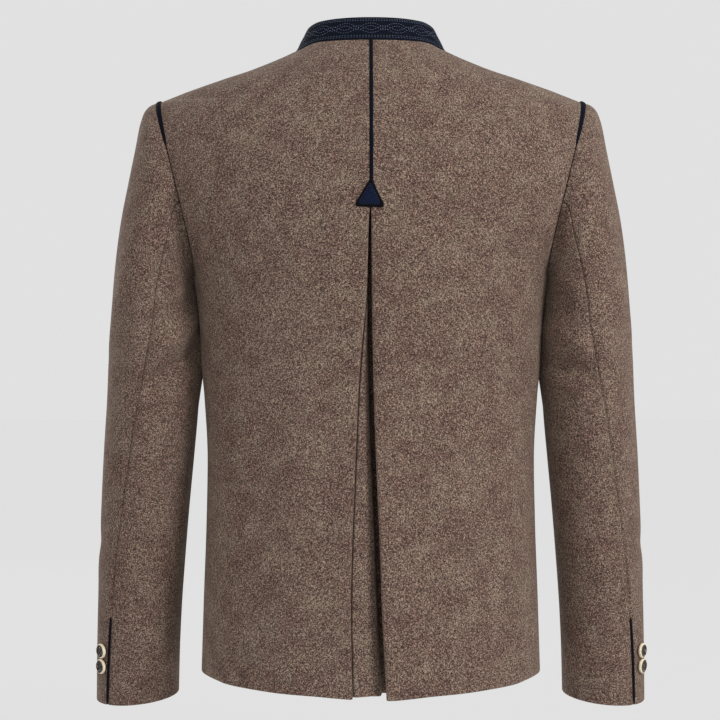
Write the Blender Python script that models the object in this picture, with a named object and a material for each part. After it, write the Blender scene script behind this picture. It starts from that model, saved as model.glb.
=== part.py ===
"""Trachten coat of heather tweed with navy trim, in the hollow form that it has when worn.

Metres, +Z up. The front faces -Y, the back +Y, and the wearer's left is +X.
The origin is on the neck's centre line, level with the two shoulder points beside the collar.
"""
import math
from collections import namedtuple

import bpy
import numpy as np

# Cloth
WALL = 0.0022
COLLAR_WALL = 0.0026
SEAM = 0.00035
HALF_SEAM = SEAM / 2
SMOOTH_ANGLE = math.radians(40)

# Body: heights and half widths down the side line, and the roundness of each section
HEM_HEIGHT = -0.686
UNDERARM_HEIGHT = -0.250
SQUARENESS = 2.2
FALL_POWER = 1.25
BODY_ROWS = 11
ARMHOLE_ROWS = 10
SHOULDER_ROWS = 5
BODY_COLUMNS = 9

SideRow = namedtuple("SideRow", "height half_width")
SIDE_LINE = (
    SideRow(-0.686, 0.1854),
    SideRow(-0.600, 0.1830),
    SideRow(-0.520, 0.1802),
    SideRow(-0.450, 0.1790),
    SideRow(-0.380, 0.1826),
    SideRow(-0.350, 0.1855),
    SideRow(-0.310, 0.1875),
    SideRow(-0.276, 0.1905),
    SideRow(-0.250, 0.1940),
)

# Centre lines: a station runs 0 at the hem, 1 at the underarm, 2 at the shoulder tip, 3 at the neck
CentreRow = namedtuple("CentreRow", "station back_height back_depth front_height front_depth")
CENTRE_LINES = (
    CentreRow(0.000, -0.686, 0.1380, -0.686, 0.1350),
    CentreRow(0.197, -0.600, 0.1315, -0.600, 0.1340),
    CentreRow(0.381, -0.520, 0.1220, -0.520, 0.1310),
    CentreRow(0.541, -0.450, 0.1140, -0.450, 0.1280),
    CentreRow(0.702, -0.380, 0.1130, -0.380, 0.1290),
    CentreRow(0.885, -0.300, 0.1185, -0.300, 0.1330),
    CentreRow(1.000, -0.250, 0.1230, -0.251, 0.1340),
    CentreRow(1.200, -0.221, 0.1255, -0.230, 0.1325),
    CentreRow(1.400, -0.175, 0.1272, -0.204, 0.1285),
    CentreRow(1.500, -0.154, 0.1262, -0.191, 0.1255),
    CentreRow(1.600, -0.129, 0.1240, -0.178, 0.1220),
    CentreRow(1.800, -0.089, 0.1140, -0.152, 0.1140),
    CentreRow(2.000, -0.061, 0.1030, -0.130, 0.1050),
    CentreRow(2.300, -0.043, 0.0940, -0.117, 0.0980),
    CentreRow(2.650, -0.020, 0.0790, -0.099, 0.0865),
    CentreRow(3.000, 0.002, 0.0620, -0.080, 0.0750),
)

# How far round its oval each section has come where it meets the panel's edge, in degrees
EndRow = namedtuple("EndRow", "station angle")
END_ANGLES = (
    EndRow(0.0, 90),
    EndRow(1.0, 90),
    EndRow(1.2, 72),
    EndRow(1.4, 57),
    EndRow(1.6, 52),
    EndRow(1.8, 56),
    EndRow(2.0, 66),
    EndRow(2.2, 81),
    EndRow(2.5, 90),
    EndRow(3.0, 90),
)

# Shoulder seam, from the tip at the armhole to the neck
SeamRow = namedtuple("SeamRow", "share across height")
SHOULDER_LINE = (
    SeamRow(0.00, 0.2325, -0.0570),
    SeamRow(0.23, 0.1980, -0.0440),
    SeamRow(0.44, 0.1660, -0.0330),
    SeamRow(0.66, 0.1330, -0.0220),
    SeamRow(0.85, 0.1040, -0.0105),
    SeamRow(1.00, 0.0820, 0.0000),
)

# Armhole: a leaning oval between the shoulder tip and the underarm, bowed in low down
TIP_ACROSS = 0.2325
TIP_HEIGHT = -0.0570
UNDERARM_ACROSS = 0.1940
ARMHOLE_HALF_DEPTH = 0.066
ARMHOLE_BOW = 0.009

# Centre back: the pleat's two folds, how far the right one stands out, and the folded-in width
PLEAT_STATION = 1.4
FOLD_RADIUS = 0.0030
FOLD_STEPS = 4
RETURN_STEPS = 3
UNDERLAY_COLUMNS = 8
UNDERLAY_RISE = 0.002
UNDERLAY_TOP = 1.38
LIFT_REACH = 0.045
PleatRow = namedtuple("PleatRow", "height left_fold right_fold right_lift return_width")
PLEAT = (
    PleatRow(-0.690, 0.0192, -0.0156, 0.0075, 0.030),
    PleatRow(-0.600, 0.0211, -0.0108, 0.0070, 0.028),
    PleatRow(-0.540, 0.0200, -0.0088, 0.0062, 0.026),
    PleatRow(-0.470, 0.0172, -0.0058, 0.0050, 0.023),
    PleatRow(-0.390, 0.0139, -0.0028, 0.0036, 0.019),
    PleatRow(-0.336, 0.0107, -0.0014, 0.0024, 0.016),
    PleatRow(-0.283, 0.0080, -0.0003, 0.0012, 0.013),
    PleatRow(-0.262, 0.0014, 0.0010, 0.0004, 0.012),
    PleatRow(-0.160, 0.0014, 0.0010, 0.0000, 0.008),
)

# Distances of the back's first columns from its fold or its centre seam
BACK_SPREAD = (0.0, 0.012, 0.030)

# Front closure
LAP_CLEAR = 0.0004
LAP_STEPS = (-0.020, 0.0, 0.021, 0.036)

# Where slopes are read beside the centre line and short of the neck's last row
NEAR_CENTRE = 0.004
LAST_SLOPE_STATION = 2.99

# Sleeves: a row for each ring, from the armhole to the cuff
RingRow = namedtuple("RingRow", "outer outer_height inner inner_height forward half_depth back_seam")
SLEEVE_RINGS = (
    RingRow(0.2325, -0.0570, 0.1940, -0.2500, 0.0000, 0.0660, 108),
    RingRow(0.2400, -0.0592, 0.1943, -0.2520, 0.0000, 0.0668, 108),
    RingRow(0.2470, -0.0655, 0.1945, -0.2545, 0.0000, 0.0676, 108),
    RingRow(0.2525, -0.0800, 0.1946, -0.2575, 0.0000, 0.0683, 108),
    RingRow(0.2580, -0.1090, 0.1945, -0.2620, 0.0000, 0.0690, 108),
    RingRow(0.2660, -0.1490, 0.1944, -0.2685, 0.0000, 0.0698, 106),
    RingRow(0.2740, -0.1900, 0.1942, -0.2780, 0.0005, 0.0700, 104),
    RingRow(0.2800, -0.2350, 0.1935, -0.2930, 0.0015, 0.0700, 100),
    RingRow(0.2845, -0.2850, 0.1903, -0.3180, 0.0035, 0.0690, 95),
    RingRow(0.2880, -0.3350, 0.1880, -0.3550, 0.0060, 0.0665, 86),
    RingRow(0.2905, -0.3850, 0.1908, -0.3980, 0.0090, 0.0630, 78),
    RingRow(0.2945, -0.4400, 0.1955, -0.4480, 0.0130, 0.0590, 72),
    RingRow(0.2980, -0.5000, 0.2010, -0.5030, 0.0175, 0.0550, 66),
    RingRow(0.3010, -0.5600, 0.2060, -0.5590, 0.0225, 0.0520, 59),
    RingRow(0.3035, -0.6200, 0.2105, -0.6160, 0.0280, 0.0490, 55),
    RingRow(0.3050, -0.6700, 0.2130, -0.6640, 0.0320, 0.0470, 52),
    RingRow(0.3060, -0.7185, 0.2145, -0.7110, 0.0360, 0.0455, 50),
)
BOW_FADE = (1.0, 0.8, 0.6, 0.4, 0.2)
CUFF_DROP = 0.0045
CUFF_DROP_FROM = 14
FRONT_SEAM = 234
TOP_COLUMNS = 13
UNDER_COLUMNS = 7
RING_STEP = 18
SEAM_STEP = 6
LEAST_TILT = 0.62

# Collar
COLLAR_TOP_HALF_WIDTH = 0.070
COLLAR_TOP_BACK = 0.050
COLLAR_TOP_FRONT = 0.066
COLLAR_TOP_SIDE_HEIGHT = 0.0225
COLLAR_TOP_BACK_RISE = 0.005
COLLAR_TOP_FRONT_FALL = 0.068
COLLAR_END = 0.0010
COLLAR_CORNER = 0.012
COLLAR_ROWS = 3

# Trim
PIPING_HALF_WIDTH = 0.0016
PIPING_PROUD = 0.0010
PIPING_RUN_IN = 0.002
ARCH_SHARES = (-1.0, -0.6, 0.0, 0.6, 1.0)
ARCH_EDGE = 0.2
TRIANGLE_APEX = -0.1545
TRIANGLE_BASE = -0.1825
TRIANGLE_TIP_HALF_WIDTH = 0.0012
TRIANGLE_HALF_WIDTH = 0.0150
TRIANGLE_CORNER_WIDTH = 0.72
TRIANGLE_CORNER_SLOPE = 6
TRIANGLE_COLUMNS = (-1.0, -0.5, 0.0, 0.5, 1.0)
TRIANGLE_OFFSET = 0.0015
TRIANGLE_THICKNESS = 0.0015
TRIANGLE_ROWS = 7
ROLL_HALF_WIDTH = 0.0030
ROLL_PROUD = 0.0024
ROLL_TURNS = (-64.5, -54, -36, -18, 0, 18, 36, 54, 64.5)
ROLL_CLEAR = 0.0008
ROLL_ROWS = 5
ROLL_TAPER = 4
SLIT_RINGS = (14.05, 15.0, 15.98)

# Buttons: a turned profile in shares of the radius and of the height
ProfileRow = namedtuple("ProfileRow", "radius height")
BUTTON_PROFILE = (
    ProfileRow(0.62, 0.00),
    ProfileRow(0.97, 0.22),
    ProfileRow(1.00, 0.60),
    ProfileRow(0.86, 1.00),
    ProfileRow(0.60, 0.86),
)
BUTTON_SIDES = 12
BUTTON_CENTRE_HEIGHT = 0.72
CUFF_BUTTON_RADIUS = 0.00825
CUFF_BUTTON_HEIGHT = 0.0042
CUFF_BUTTON_ANGLE = 39
CUFF_BUTTON_RINGS = (14.82, 15.165)
FRONT_BUTTON_RADIUS = 0.0110
FRONT_BUTTON_HEIGHT = 0.0052
FRONT_BUTTON_FIRST = -0.103
FRONT_BUTTON_SPACING = 0.092
FRONT_BUTTON_COUNT = 6

# Finishes: linear colour and roughness
TWEED = ((0.13, 0.09, 0.07), 0.95)
NAVY = ((0.010, 0.014, 0.030), 0.85)
HORN = ((0.55, 0.48, 0.36), 0.45)


def material(name, colour, roughness):
    """Plain finish from a linear colour."""
    finish = bpy.data.materials.new(name)
    finish.use_nodes = True
    shader = finish.node_tree.nodes["Principled BSDF"]
    shader.inputs["Base Color"].default_value = (*colour, 1.0)
    shader.inputs["Roughness"].default_value = roughness
    finish.diffuse_color = (*colour, 1.0)
    return finish


def unit(vectors):
    """Vectors brought to length one."""
    return vectors / np.maximum(np.linalg.norm(vectors, axis=-1, keepdims=True), 1e-12)


def through(stations, values, at):
    """Smooth curve through a table's rows that never overshoots between two of them."""
    stations = np.asarray(stations, float)
    values = np.asarray(values, float)
    steps = np.diff(stations)
    slopes = np.diff(values) / steps
    before, after = slopes[:-1], slopes[1:]
    same = before * after > 0
    tangents = np.empty_like(values)
    tangents[0] = slopes[0]
    tangents[-1] = slopes[-1]
    tangents[1:-1] = np.where(same, 2 * before * after / np.where(same, before + after, 1.0), 0.0)
    at = np.clip(np.asarray(at, float), stations[0], stations[-1])
    k = np.clip(np.searchsorted(stations, at) - 1, 0, len(steps) - 1)
    t = (at - stations[k]) / steps[k]
    rise = values[k] + (values[k + 1] - values[k]) * t * t * (3 - 2 * t)
    bend = t * (1 - t) * ((1 - t) * tangents[k] - t * tangents[k + 1]) * steps[k]
    return rise + bend


def read(table, column, at):
    """A column of a table, read at a place along the table's first column."""
    return float(through([row[0] for row in table], [getattr(row, column) for row in table], at))


def armhole(turn):
    """Point of the armhole seam; turn is 0 at the shoulder tip, pi at the underarm, positive behind."""
    low = (1 - math.cos(turn)) / 2
    across = TIP_ACROSS + (UNDERARM_ACROSS - TIP_ACROSS) * low
    height = TIP_HEIGHT + (UNDERARM_HEIGHT - TIP_HEIGHT) * low
    bow = ARMHOLE_BOW * abs(math.sin(turn)) * low
    return np.array((across - bow, ARMHOLE_HALF_DEPTH * math.sin(turn), height))


def panel_edge(station, face):
    """Outer edge of a body panel: the side seam, the armhole, then the shoulder seam."""
    if station <= 1:
        height = HEM_HEIGHT + (UNDERARM_HEIGHT - HEM_HEIGHT) * station
        return np.array((read(SIDE_LINE, "half_width", height), 0.0, height))
    if station <= 2:
        return armhole(face * math.pi * (2 - station))
    share = station - 2
    return np.array((read(SHOULDER_LINE, "across", share), 0.0, read(SHOULDER_LINE, "height", share)))


def section_ends(station, face):
    """Edge point, centre depth, centre height and end angle of one section of the body."""
    edge = panel_edge(station, face)
    name = "back" if face > 0 else "front"
    depth = read(CENTRE_LINES, name + "_depth", station)
    height = read(CENTRE_LINES, name + "_height", station)
    end = math.radians(read(END_ANGLES, "angle", station))
    return edge, depth, height, end


def angle_at(station, face, across):
    """Angle along a section at a distance from the centre line."""
    edge, _, _, end = section_ends(station, face)
    share = (abs(across) / edge[0]) ** (SQUARENESS / 2) * math.sin(end)
    return math.copysign(math.asin(min(1.0, share)), across)


def body_point(station, face, angle):
    """Point of the body's outer surface: a squared oval from the centre line to the panel's edge."""
    edge, depth, height, end = section_ends(station, face)
    level = max(0.0, math.cos(angle))
    across = edge[0] * (abs(math.sin(angle)) / math.sin(end)) ** (2 / SQUARENESS)
    last = max(0.0, math.cos(end))
    inward, upward = [
        (level ** power - last ** power) / (1 - last ** power)
        for power in (2 / SQUARENESS, FALL_POWER)
    ]
    return np.array((
        math.copysign(across, angle),
        edge[1] + (face * depth - edge[1]) * inward,
        edge[2] + (height - edge[2]) * upward,
    ))


def body_at(station, face, across):
    """Point of the body's outer surface at a distance from the centre line."""
    return body_point(station, face, angle_at(station, face, across))


def station_at(height, face):
    """Station at which the centre line reaches a height."""
    column = 1 if face > 0 else 3
    heights = [row[column] for row in CENTRE_LINES]
    return float(through(heights, [row.station for row in CENTRE_LINES], height))


def slope_normal(surface, u, v, outside):
    """Outward normal of a surface of two parameters, from small steps along both."""
    reach = 2e-3
    along = surface(u + reach, v) - surface(u - reach, v)
    over = surface(u, v + reach) - surface(u, v - reach)
    normal = unit(np.cross(along, over))
    return normal if normal @ outside > 0 else -normal


def centre_normal(station, face, across=NEAR_CENTRE):
    """Outward normal of the body beside its centre line, square to X."""
    normal = slope_normal(
        lambda u, v: body_at(u, face, v),
        min(station, LAST_SLOPE_STATION),
        max(across, NEAR_CENTRE),
        np.array((0, face, 0)),
    )
    return unit(normal * np.array((0, 1, 1)))


def grid_normals(points, outside):
    """Normals at a grid's points, averaged from its cells, on the side that outside gives."""
    first = points[1:, 1:] - points[:-1, :-1]
    second = points[1:, :-1] - points[:-1, 1:]
    cells = unit(np.cross(first, second))
    total = np.zeros_like(points)
    total[:-1, :-1] += cells
    total[1:, :-1] += cells
    total[:-1, 1:] += cells
    total[1:, 1:] += cells
    total = unit(total)
    sign = np.sign(np.sum(total * outside))
    return total * sign


def mirrored(points):
    """The same points on the wearer's other side."""
    return points * np.array((-1.0, 1.0, 1.0))


def add_wall(name, outer, inner, finish, keep=None):
    """Closed wall between an outer and an inner grid; keep says which cells of the grid are cloth."""
    rows, columns = outer.shape[:2]
    if keep is None:
        keep = np.ones((rows - 1, columns - 1), bool)
    count = rows * columns
    place = np.arange(count).reshape(rows, columns)
    faces = []
    for row, column in np.argwhere(keep):
        a = place[row, column]
        b = place[row, column + 1]
        c = place[row + 1, column + 1]
        d = place[row + 1, column]
        # Both sides start at the same diagonal, so twisted cells keep the wall's thickness.
        faces.append((a, b, c, d))
        faces.append((c + count, b + count, a + count, d + count))
        sides = (
            (row - 1, column, a, b),
            (row, column + 1, b, c),
            (row + 1, column, c, d),
            (row, column - 1, d, a),
        )
        for next_row, next_column, start, end in sides:
            inside = 0 <= next_row < rows - 1 and 0 <= next_column < columns - 1
            if not inside or not keep[next_row, next_column]:
                faces.append((end, start, start + count, end + count))
    points = np.concatenate([outer.reshape(-1, 3), inner.reshape(-1, 3)])
    across = outer[:-1, 1:] - outer[:-1, :-1]
    along = outer[1:, :-1] - outer[:-1, :-1]
    thick = outer[:-1, :-1] - inner[:-1, :-1]
    if np.sum(np.cross(across, along) * thick * keep[..., None]) < 0:
        faces = [face[::-1] for face in faces]
    return add_mesh(name, points, faces, finish)


def add_mesh(name, points, faces, finish):
    """Object of these points and faces, without unused points, shaded smooth up to 40 degrees."""
    used = sorted({index for face in faces for index in face})
    renumbered = {old: new for new, old in enumerate(used)}
    mesh = bpy.data.meshes.new(name)
    mesh.from_pydata(
        [tuple(points[index]) for index in used],
        [],
        [tuple(renumbered[index] for index in face) for face in faces],
    )
    mesh.materials.append(finish)
    mesh.shade_smooth()
    mesh.set_sharp_from_angle(angle=SMOOTH_ANGLE)
    piece = bpy.data.objects.new(name, mesh)
    bpy.context.collection.objects.link(piece)
    return piece


def body_stations():
    """Stations of the body's rows, from the hem to the neck."""
    low = np.linspace(0, 1, BODY_ROWS + 1)
    arm = 1 + np.arange(1, ARMHOLE_ROWS + 1) / ARMHOLE_ROWS
    high = 2 + np.arange(1, SHOULDER_ROWS + 1) / SHOULDER_ROWS
    return np.concatenate([low, arm, high])


def body_row(station, face, starts):
    """Points of one row: the given distances from the centre line, then even steps to the edge."""
    end = section_ends(station, face)[3]
    first = [angle_at(station, face, across) for across in starts]
    shares = np.arange(1, BODY_COLUMNS + 1) / BODY_COLUMNS
    rest = [first[-1] + (end - first[-1]) * share for share in shares]
    return np.array([body_point(station, face, angle) for angle in first + rest])


def pull_from_seam(points, stations, face):
    """Panels stop half a seam short of each other at the side seam and the shoulder seam."""
    for row, station in enumerate(stations):
        if station <= 1 or station >= 2:
            points[row, -1, 1] += face * HALF_SEAM


def sleeve_ring(ring, column):
    """A column of the sleeve's table, read between its rings."""
    numbers = range(len(SLEEVE_RINGS))
    return float(through(numbers, [getattr(row, column) for row in SLEEVE_RINGS], ring))


def sleeve_point(ring, angle):
    """Point of the sleeve's outer surface: leaning ovals, and the cuff hangs lower behind.

    The angle is 0 outside and pi/2 behind.
    """
    outer = np.array((sleeve_ring(ring, "outer"), 0.0, sleeve_ring(ring, "outer_height")))
    inner = np.array((sleeve_ring(ring, "inner"), 0.0, sleeve_ring(ring, "inner_height")))
    low = (1 - math.cos(angle)) / 2
    fade = float(np.interp(ring, range(len(BOW_FADE) + 1), BOW_FADE + (0.0,)))
    point = outer + (inner - outer) * low
    point[0] += SEAM - ARMHOLE_BOW * fade * abs(math.sin(angle)) * low
    point[1] = sleeve_ring(ring, "half_depth") * math.sin(angle) - sleeve_ring(ring, "forward")
    near_cuff = max(0.0, ring - CUFF_DROP_FROM) / (len(SLEEVE_RINGS) - 1 - CUFF_DROP_FROM)
    point[2] -= CUFF_DROP * near_cuff ** 2 * max(0.0, math.sin(angle))
    return point


def sleeve_angles(ring):
    """Angles of a ring's columns: from the back seam over the top to the front seam, then under."""
    seam = math.radians(sleeve_ring(ring, "back_seam"))
    front = math.radians(FRONT_SEAM)
    top = np.linspace(seam, front - 2 * math.pi, TOP_COLUMNS + 1)
    under = np.linspace(seam, front, UNDER_COLUMNS + 1)
    return top, under


def sleeve_grids():
    """Outer points and normals of the top sleeve and the under sleeve."""
    rings = range(len(SLEEVE_RINGS))
    loop = []
    for ring in rings:
        top, under = sleeve_angles(ring)
        angles = np.concatenate([top, under[-2:0:-1]])
        loop.append([sleeve_point(ring, angle) for angle in angles])
    loop = np.array(loop)
    around = np.concatenate([loop[:, -1:], loop, loop[:, :1]], axis=1)
    centre = loop.mean(axis=1, keepdims=True)
    normals = grid_normals(around, around - centre)[:, 1:-1]
    top = slice(0, TOP_COLUMNS + 1)
    under = [0] + list(range(TOP_COLUMNS + UNDER_COLUMNS - 1, TOP_COLUMNS - 1, -1))
    return loop[:, top], normals[:, top], loop[:, under], normals[:, under]


def seam_directions(back_normals, front_normals, top_normals, under_normals):
    """Shared direction of both walls' ends at each step of the armhole, divided by its tilt."""
    shared = {}
    for step in range(1 - ARMHOLE_ROWS, ARMHOLE_ROWS + 1):
        row = BODY_ROWS + ARMHOLE_ROWS - abs(step)
        body = (back_normals if step >= 0 else front_normals)[row, -1]
        if SEAM_STEP - TOP_COLUMNS <= step <= SEAM_STEP:
            sleeve = top_normals[0, SEAM_STEP - step]
        else:
            sleeve = under_normals[0, (step - SEAM_STEP) % (2 * ARMHOLE_ROWS)]
        middle = unit(body + sleeve)
        shared[step] = middle / max(LEAST_TILT, float(middle @ body))
    return shared


def back_rows(side, stations):
    """Outer and inner points of one back: folded-in cloth, fold and panel, in the left back's own X."""
    outer, inner = [], []
    for station in stations:
        height = read(CENTRE_LINES, "back_height", station)
        pleated = station <= PLEAT_STATION + 1e-6
        fold = read(PLEAT, "left_fold", height) if side > 0 else -read(PLEAT, "right_fold", height)
        lift = read(PLEAT, "right_lift", height) if side < 0 else 0.0
        width = read(PLEAT, "return_width", height)
        start = fold + FOLD_RADIUS if pleated else HALF_SEAM
        row = body_row(station, 1, [start + across for across in BACK_SPREAD])
        raised = lift * np.exp(-((row[:, 0] - start) / LIFT_REACH) ** 2)
        row[:, 1] += raised
        normal = centre_normal(station, 1, start)
        lines = []
        for thick in (0.0, WALL):
            line = []
            for step in range(RETURN_STEPS, 0, -1):
                share = step / RETURN_STEPS
                base = body_at(station, 1, start + width * share)
                deep = 2 * FOLD_RADIUS - lift * (1 - share) - thick
                line.append(base - normal * deep)
            for step in range(FOLD_STEPS, 0, -1):
                turn = math.pi * step / FOLD_STEPS
                radius = FOLD_RADIUS - thick
                deep = FOLD_RADIUS - radius * math.cos(turn)
                line.append(row[0] - normal * deep - np.array((radius * math.sin(turn), 0, 0)))
            lines.append(line)
        outer.append(np.concatenate([lines[0], row]))
        inner.append(np.concatenate([lines[1], row - normal * WALL]))
    return np.array(outer), np.array(inner)


def front_rows(stations, under):
    """Outer points of one front in the left front's own X; the under one is pressed in by the lap."""
    rows = [body_row(station, -1, LAP_STEPS) for station in stations]
    points = np.array(rows)
    if under:
        normals = grid_normals(points, np.array((0, -1.0, 0)))
        full, none = LAP_STEPS[2], LAP_STEPS[3]
        share = np.clip((none - points[..., 0]) / (none - full), 0, 1)
        points = points - normals * (share * (WALL + LAP_CLEAR))[..., None]
    return points


def build_body(tweed, navy):
    """Backs, fronts, underlay and sleeves, with shared directions at their seams."""
    stations = body_stations()
    folded = RETURN_STEPS + FOLD_STEPS
    side_rows = (stations <= 1 + 1e-6) | (stations >= 2 - 1e-6)
    top, top_normals, under, under_normals = sleeve_grids()
    outside = np.array((0, 1.0, 0))
    for side, label in ((1, "left"), (-1, "right")):
        back, back_inner = back_rows(side, stations)
        panel = back[:, folded:]
        front = front_rows(stations, side < 0)
        back_normals = grid_normals(panel, outside)
        front_normals = grid_normals(front, -outside)
        shared = unit(back_normals[:, -1] + front_normals[:, -1])
        back_normals[side_rows, -1] = shared[side_rows]
        front_normals[side_rows, -1] = shared[side_rows]
        ends = seam_directions(back_normals, front_normals, top_normals, under_normals)
        tip = BODY_ROWS + ARMHOLE_ROWS
        reach = slice(tip - ROLL_ROWS, tip)
        behind = slice(tip, tip - ROLL_ROWS - 1, -1)
        seam = np.concatenate([front[reach, -1], panel[behind, -1]])
        body_side = np.concatenate([front_normals[reach, -1], back_normals[behind, -1]])
        sleeve_side = top_normals[0, SEAM_STEP + ROLL_ROWS:SEAM_STEP - ROLL_ROWS - 1:-1]
        place = (lambda points: points) if side > 0 else mirrored
        build_armhole_piping(label, place, seam, body_side, sleeve_side, navy)
        back_walls = back_normals * WALL
        front_walls = front_normals * WALL
        for step in range(ARMHOLE_ROWS + 1):
            row = BODY_ROWS + ARMHOLE_ROWS - step
            back_walls[row, -1] = ends[step] * WALL
            front_walls[row, -1] = ends[-step if step < ARMHOLE_ROWS else step] * WALL
        pull_from_seam(panel, stations, 1)
        pull_from_seam(front, stations, -1)
        back[:, folded:] = panel
        back_inner[:, folded + 1:] = (panel - back_walls)[:, 1:]
        keep = np.ones((len(stations) - 1, back.shape[1] - 1), bool)
        keep[stations[1:] > PLEAT_STATION + 1e-6, :folded] = False
        add_wall("back_" + label, place(back), place(back_inner), tweed, keep)
        add_wall("front_" + label, place(front), place(front - front_walls), tweed)
        build_sleeve(label, place, (top, top_normals, under, under_normals), ends, tweed)


def build_sleeve(label, place, grids, ends, tweed):
    """Top sleeve and under sleeve, parted at their two seams."""
    for name, points, normals, turn in (
        ("sleeve_top_", grids[0], grids[1], -1),
        ("sleeve_under_", grids[2], grids[3], 1),
    ):
        walls = normals * WALL
        for column in range(points.shape[1]):
            step = SEAM_STEP + turn * column
            walls[0, column] = ends[step if step <= ARMHOLE_ROWS else step - 2 * ARMHOLE_ROWS] * WALL
        parted = points.copy()
        parted[:, 0] += unit(points[:, 1] - points[:, 0]) * HALF_SEAM
        parted[:, -1] += unit(points[:, -2] - points[:, -1]) * HALF_SEAM
        add_wall(name + label, place(parted), place(parted - walls), tweed)


def build_underlay(tweed):
    """Strip behind the two folds, which follows the back at the depth of the folded-in cloth."""
    stations = [UNDERLAY_RISE / (UNDERARM_HEIGHT - HEM_HEIGHT)]
    stations += [s for s in body_stations() if 0.01 < s < UNDERLAY_TOP - 0.02]
    stations.append(UNDERLAY_TOP)
    outer, inner = [], []
    for station in stations:
        height = read(CENTRE_LINES, "back_height", station)
        width = read(PLEAT, "return_width", height) + FOLD_RADIUS
        left = read(PLEAT, "left_fold", height) + width
        right = read(PLEAT, "right_fold", height) - width
        normal = centre_normal(station, 1)
        line = []
        for across in np.linspace(right, left, UNDERLAY_COLUMNS + 1):
            base = body_at(station, 1, abs(across))
            base[0] = across
            line.append(base - normal * (2 * FOLD_RADIUS + SEAM))
        outer.append(line)
        inner.append([point - normal * WALL for point in line])
    add_wall("pleat_underlay", np.array(outer), np.array(inner), tweed)


def build_collar(navy):
    """Stand collar: a leaning band on the neckline, with rounded front corners."""
    back = body_row(3.0, 1, BACK_SPREAD)
    back[0, 0] = 0.0
    front = body_row(3.0, -1, LAP_STEPS)
    neckline = [(1, low) for low in back[:-1]] + [(-1, low) for low in front[:0:-1]]
    columns = []
    for face, low in neckline:
        angle = math.asin(min(1.0, (low[0] / back[-1, 0]) ** (SQUARENESS / 2)))
        level = max(0.0, math.cos(angle))
        depth = COLLAR_TOP_BACK if face > 0 else COLLAR_TOP_FRONT
        rise = COLLAR_TOP_BACK_RISE if face > 0 else -COLLAR_TOP_FRONT_FALL
        high = np.array((
            COLLAR_TOP_HALF_WIDTH * low[0] / back[-1, 0],
            face * depth * level ** (2 / SQUARENESS),
            COLLAR_TOP_SIDE_HEIGHT + rise * level ** (1.0 if face > 0 else FALL_POWER),
        ))
        columns.append((low + unit(high - low) * SEAM, high))
    columns[-1] = tuple(point + np.array((COLLAR_END, 0, 0)) for point in columns[-1])
    lows = np.array([low for low, _ in columns])
    highs = np.array([high for _, high in columns])
    left = np.array([lows + (highs - lows) * row / COLLAR_ROWS for row in range(COLLAR_ROWS + 1)])
    for column in range(len(columns)):
        from_end = left[0, column, 0] - COLLAR_END
        if from_end < COLLAR_CORNER and columns[column][0][1] < 0:
            inset = COLLAR_CORNER - from_end
            short = COLLAR_CORNER - math.sqrt(max(0.0, COLLAR_CORNER ** 2 - inset ** 2))
            length = np.linalg.norm(highs[column] - lows[column])
            for row in range(COLLAR_ROWS + 1):
                share = row / COLLAR_ROWS * (1 - short / length)
                left[row, column] = lows[column] + (highs[column] - lows[column]) * share
    whole = np.concatenate([mirrored(left[:, :0:-1]), left], axis=1)
    normals = grid_normals(whole, whole * np.array((1, 1, 0)))
    add_wall("collar", whole, whole - normals * COLLAR_WALL, navy)


def strip(name, rows, finish):
    """Closed strip from rows of points: the arched top is the outer grid, the flat seat the inner."""
    outer = np.array([top for top, _ in rows])
    inner = np.array([seat for _, seat in rows])
    add_wall(name, outer, inner, finish)


def arch_lift(share):
    """Share of a piping's height at a share of its half width."""
    return ARCH_EDGE + (1 - ARCH_EDGE) * math.sqrt(max(0.0, 1 - share * share))


def arch(centre, normal, aside, half_width, proud):
    """Half-round section of a piping over its seat, which is clear of the cloth by the seam gap."""
    top, seat = [], []
    for share in ARCH_SHARES:
        lift = arch_lift(share)
        top.append(centre + aside * share * half_width + normal * (SEAM + proud * lift))
        seat.append(centre + aside * share * half_width + normal * SEAM)
    return top, seat


def on_back(height, across):
    """Point and normal of the back where its rows' straight facets reach a height near the centre."""
    stations = body_stations()
    heights = [read(CENTRE_LINES, "back_height", station) for station in stations]
    row = min(max(int(np.searchsorted(heights, height)), 1), len(stations) - 1)
    share = (height - heights[row - 1]) / (heights[row] - heights[row - 1])
    low = body_at(stations[row - 1], 1, abs(across))
    high = body_at(stations[row], 1, abs(across))
    point = low + (high - low) * share
    point[0] = across
    along = unit((high - low) * np.array((0, 1, 1)))
    return point, np.array((0.0, along[2], -along[1]))


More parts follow.
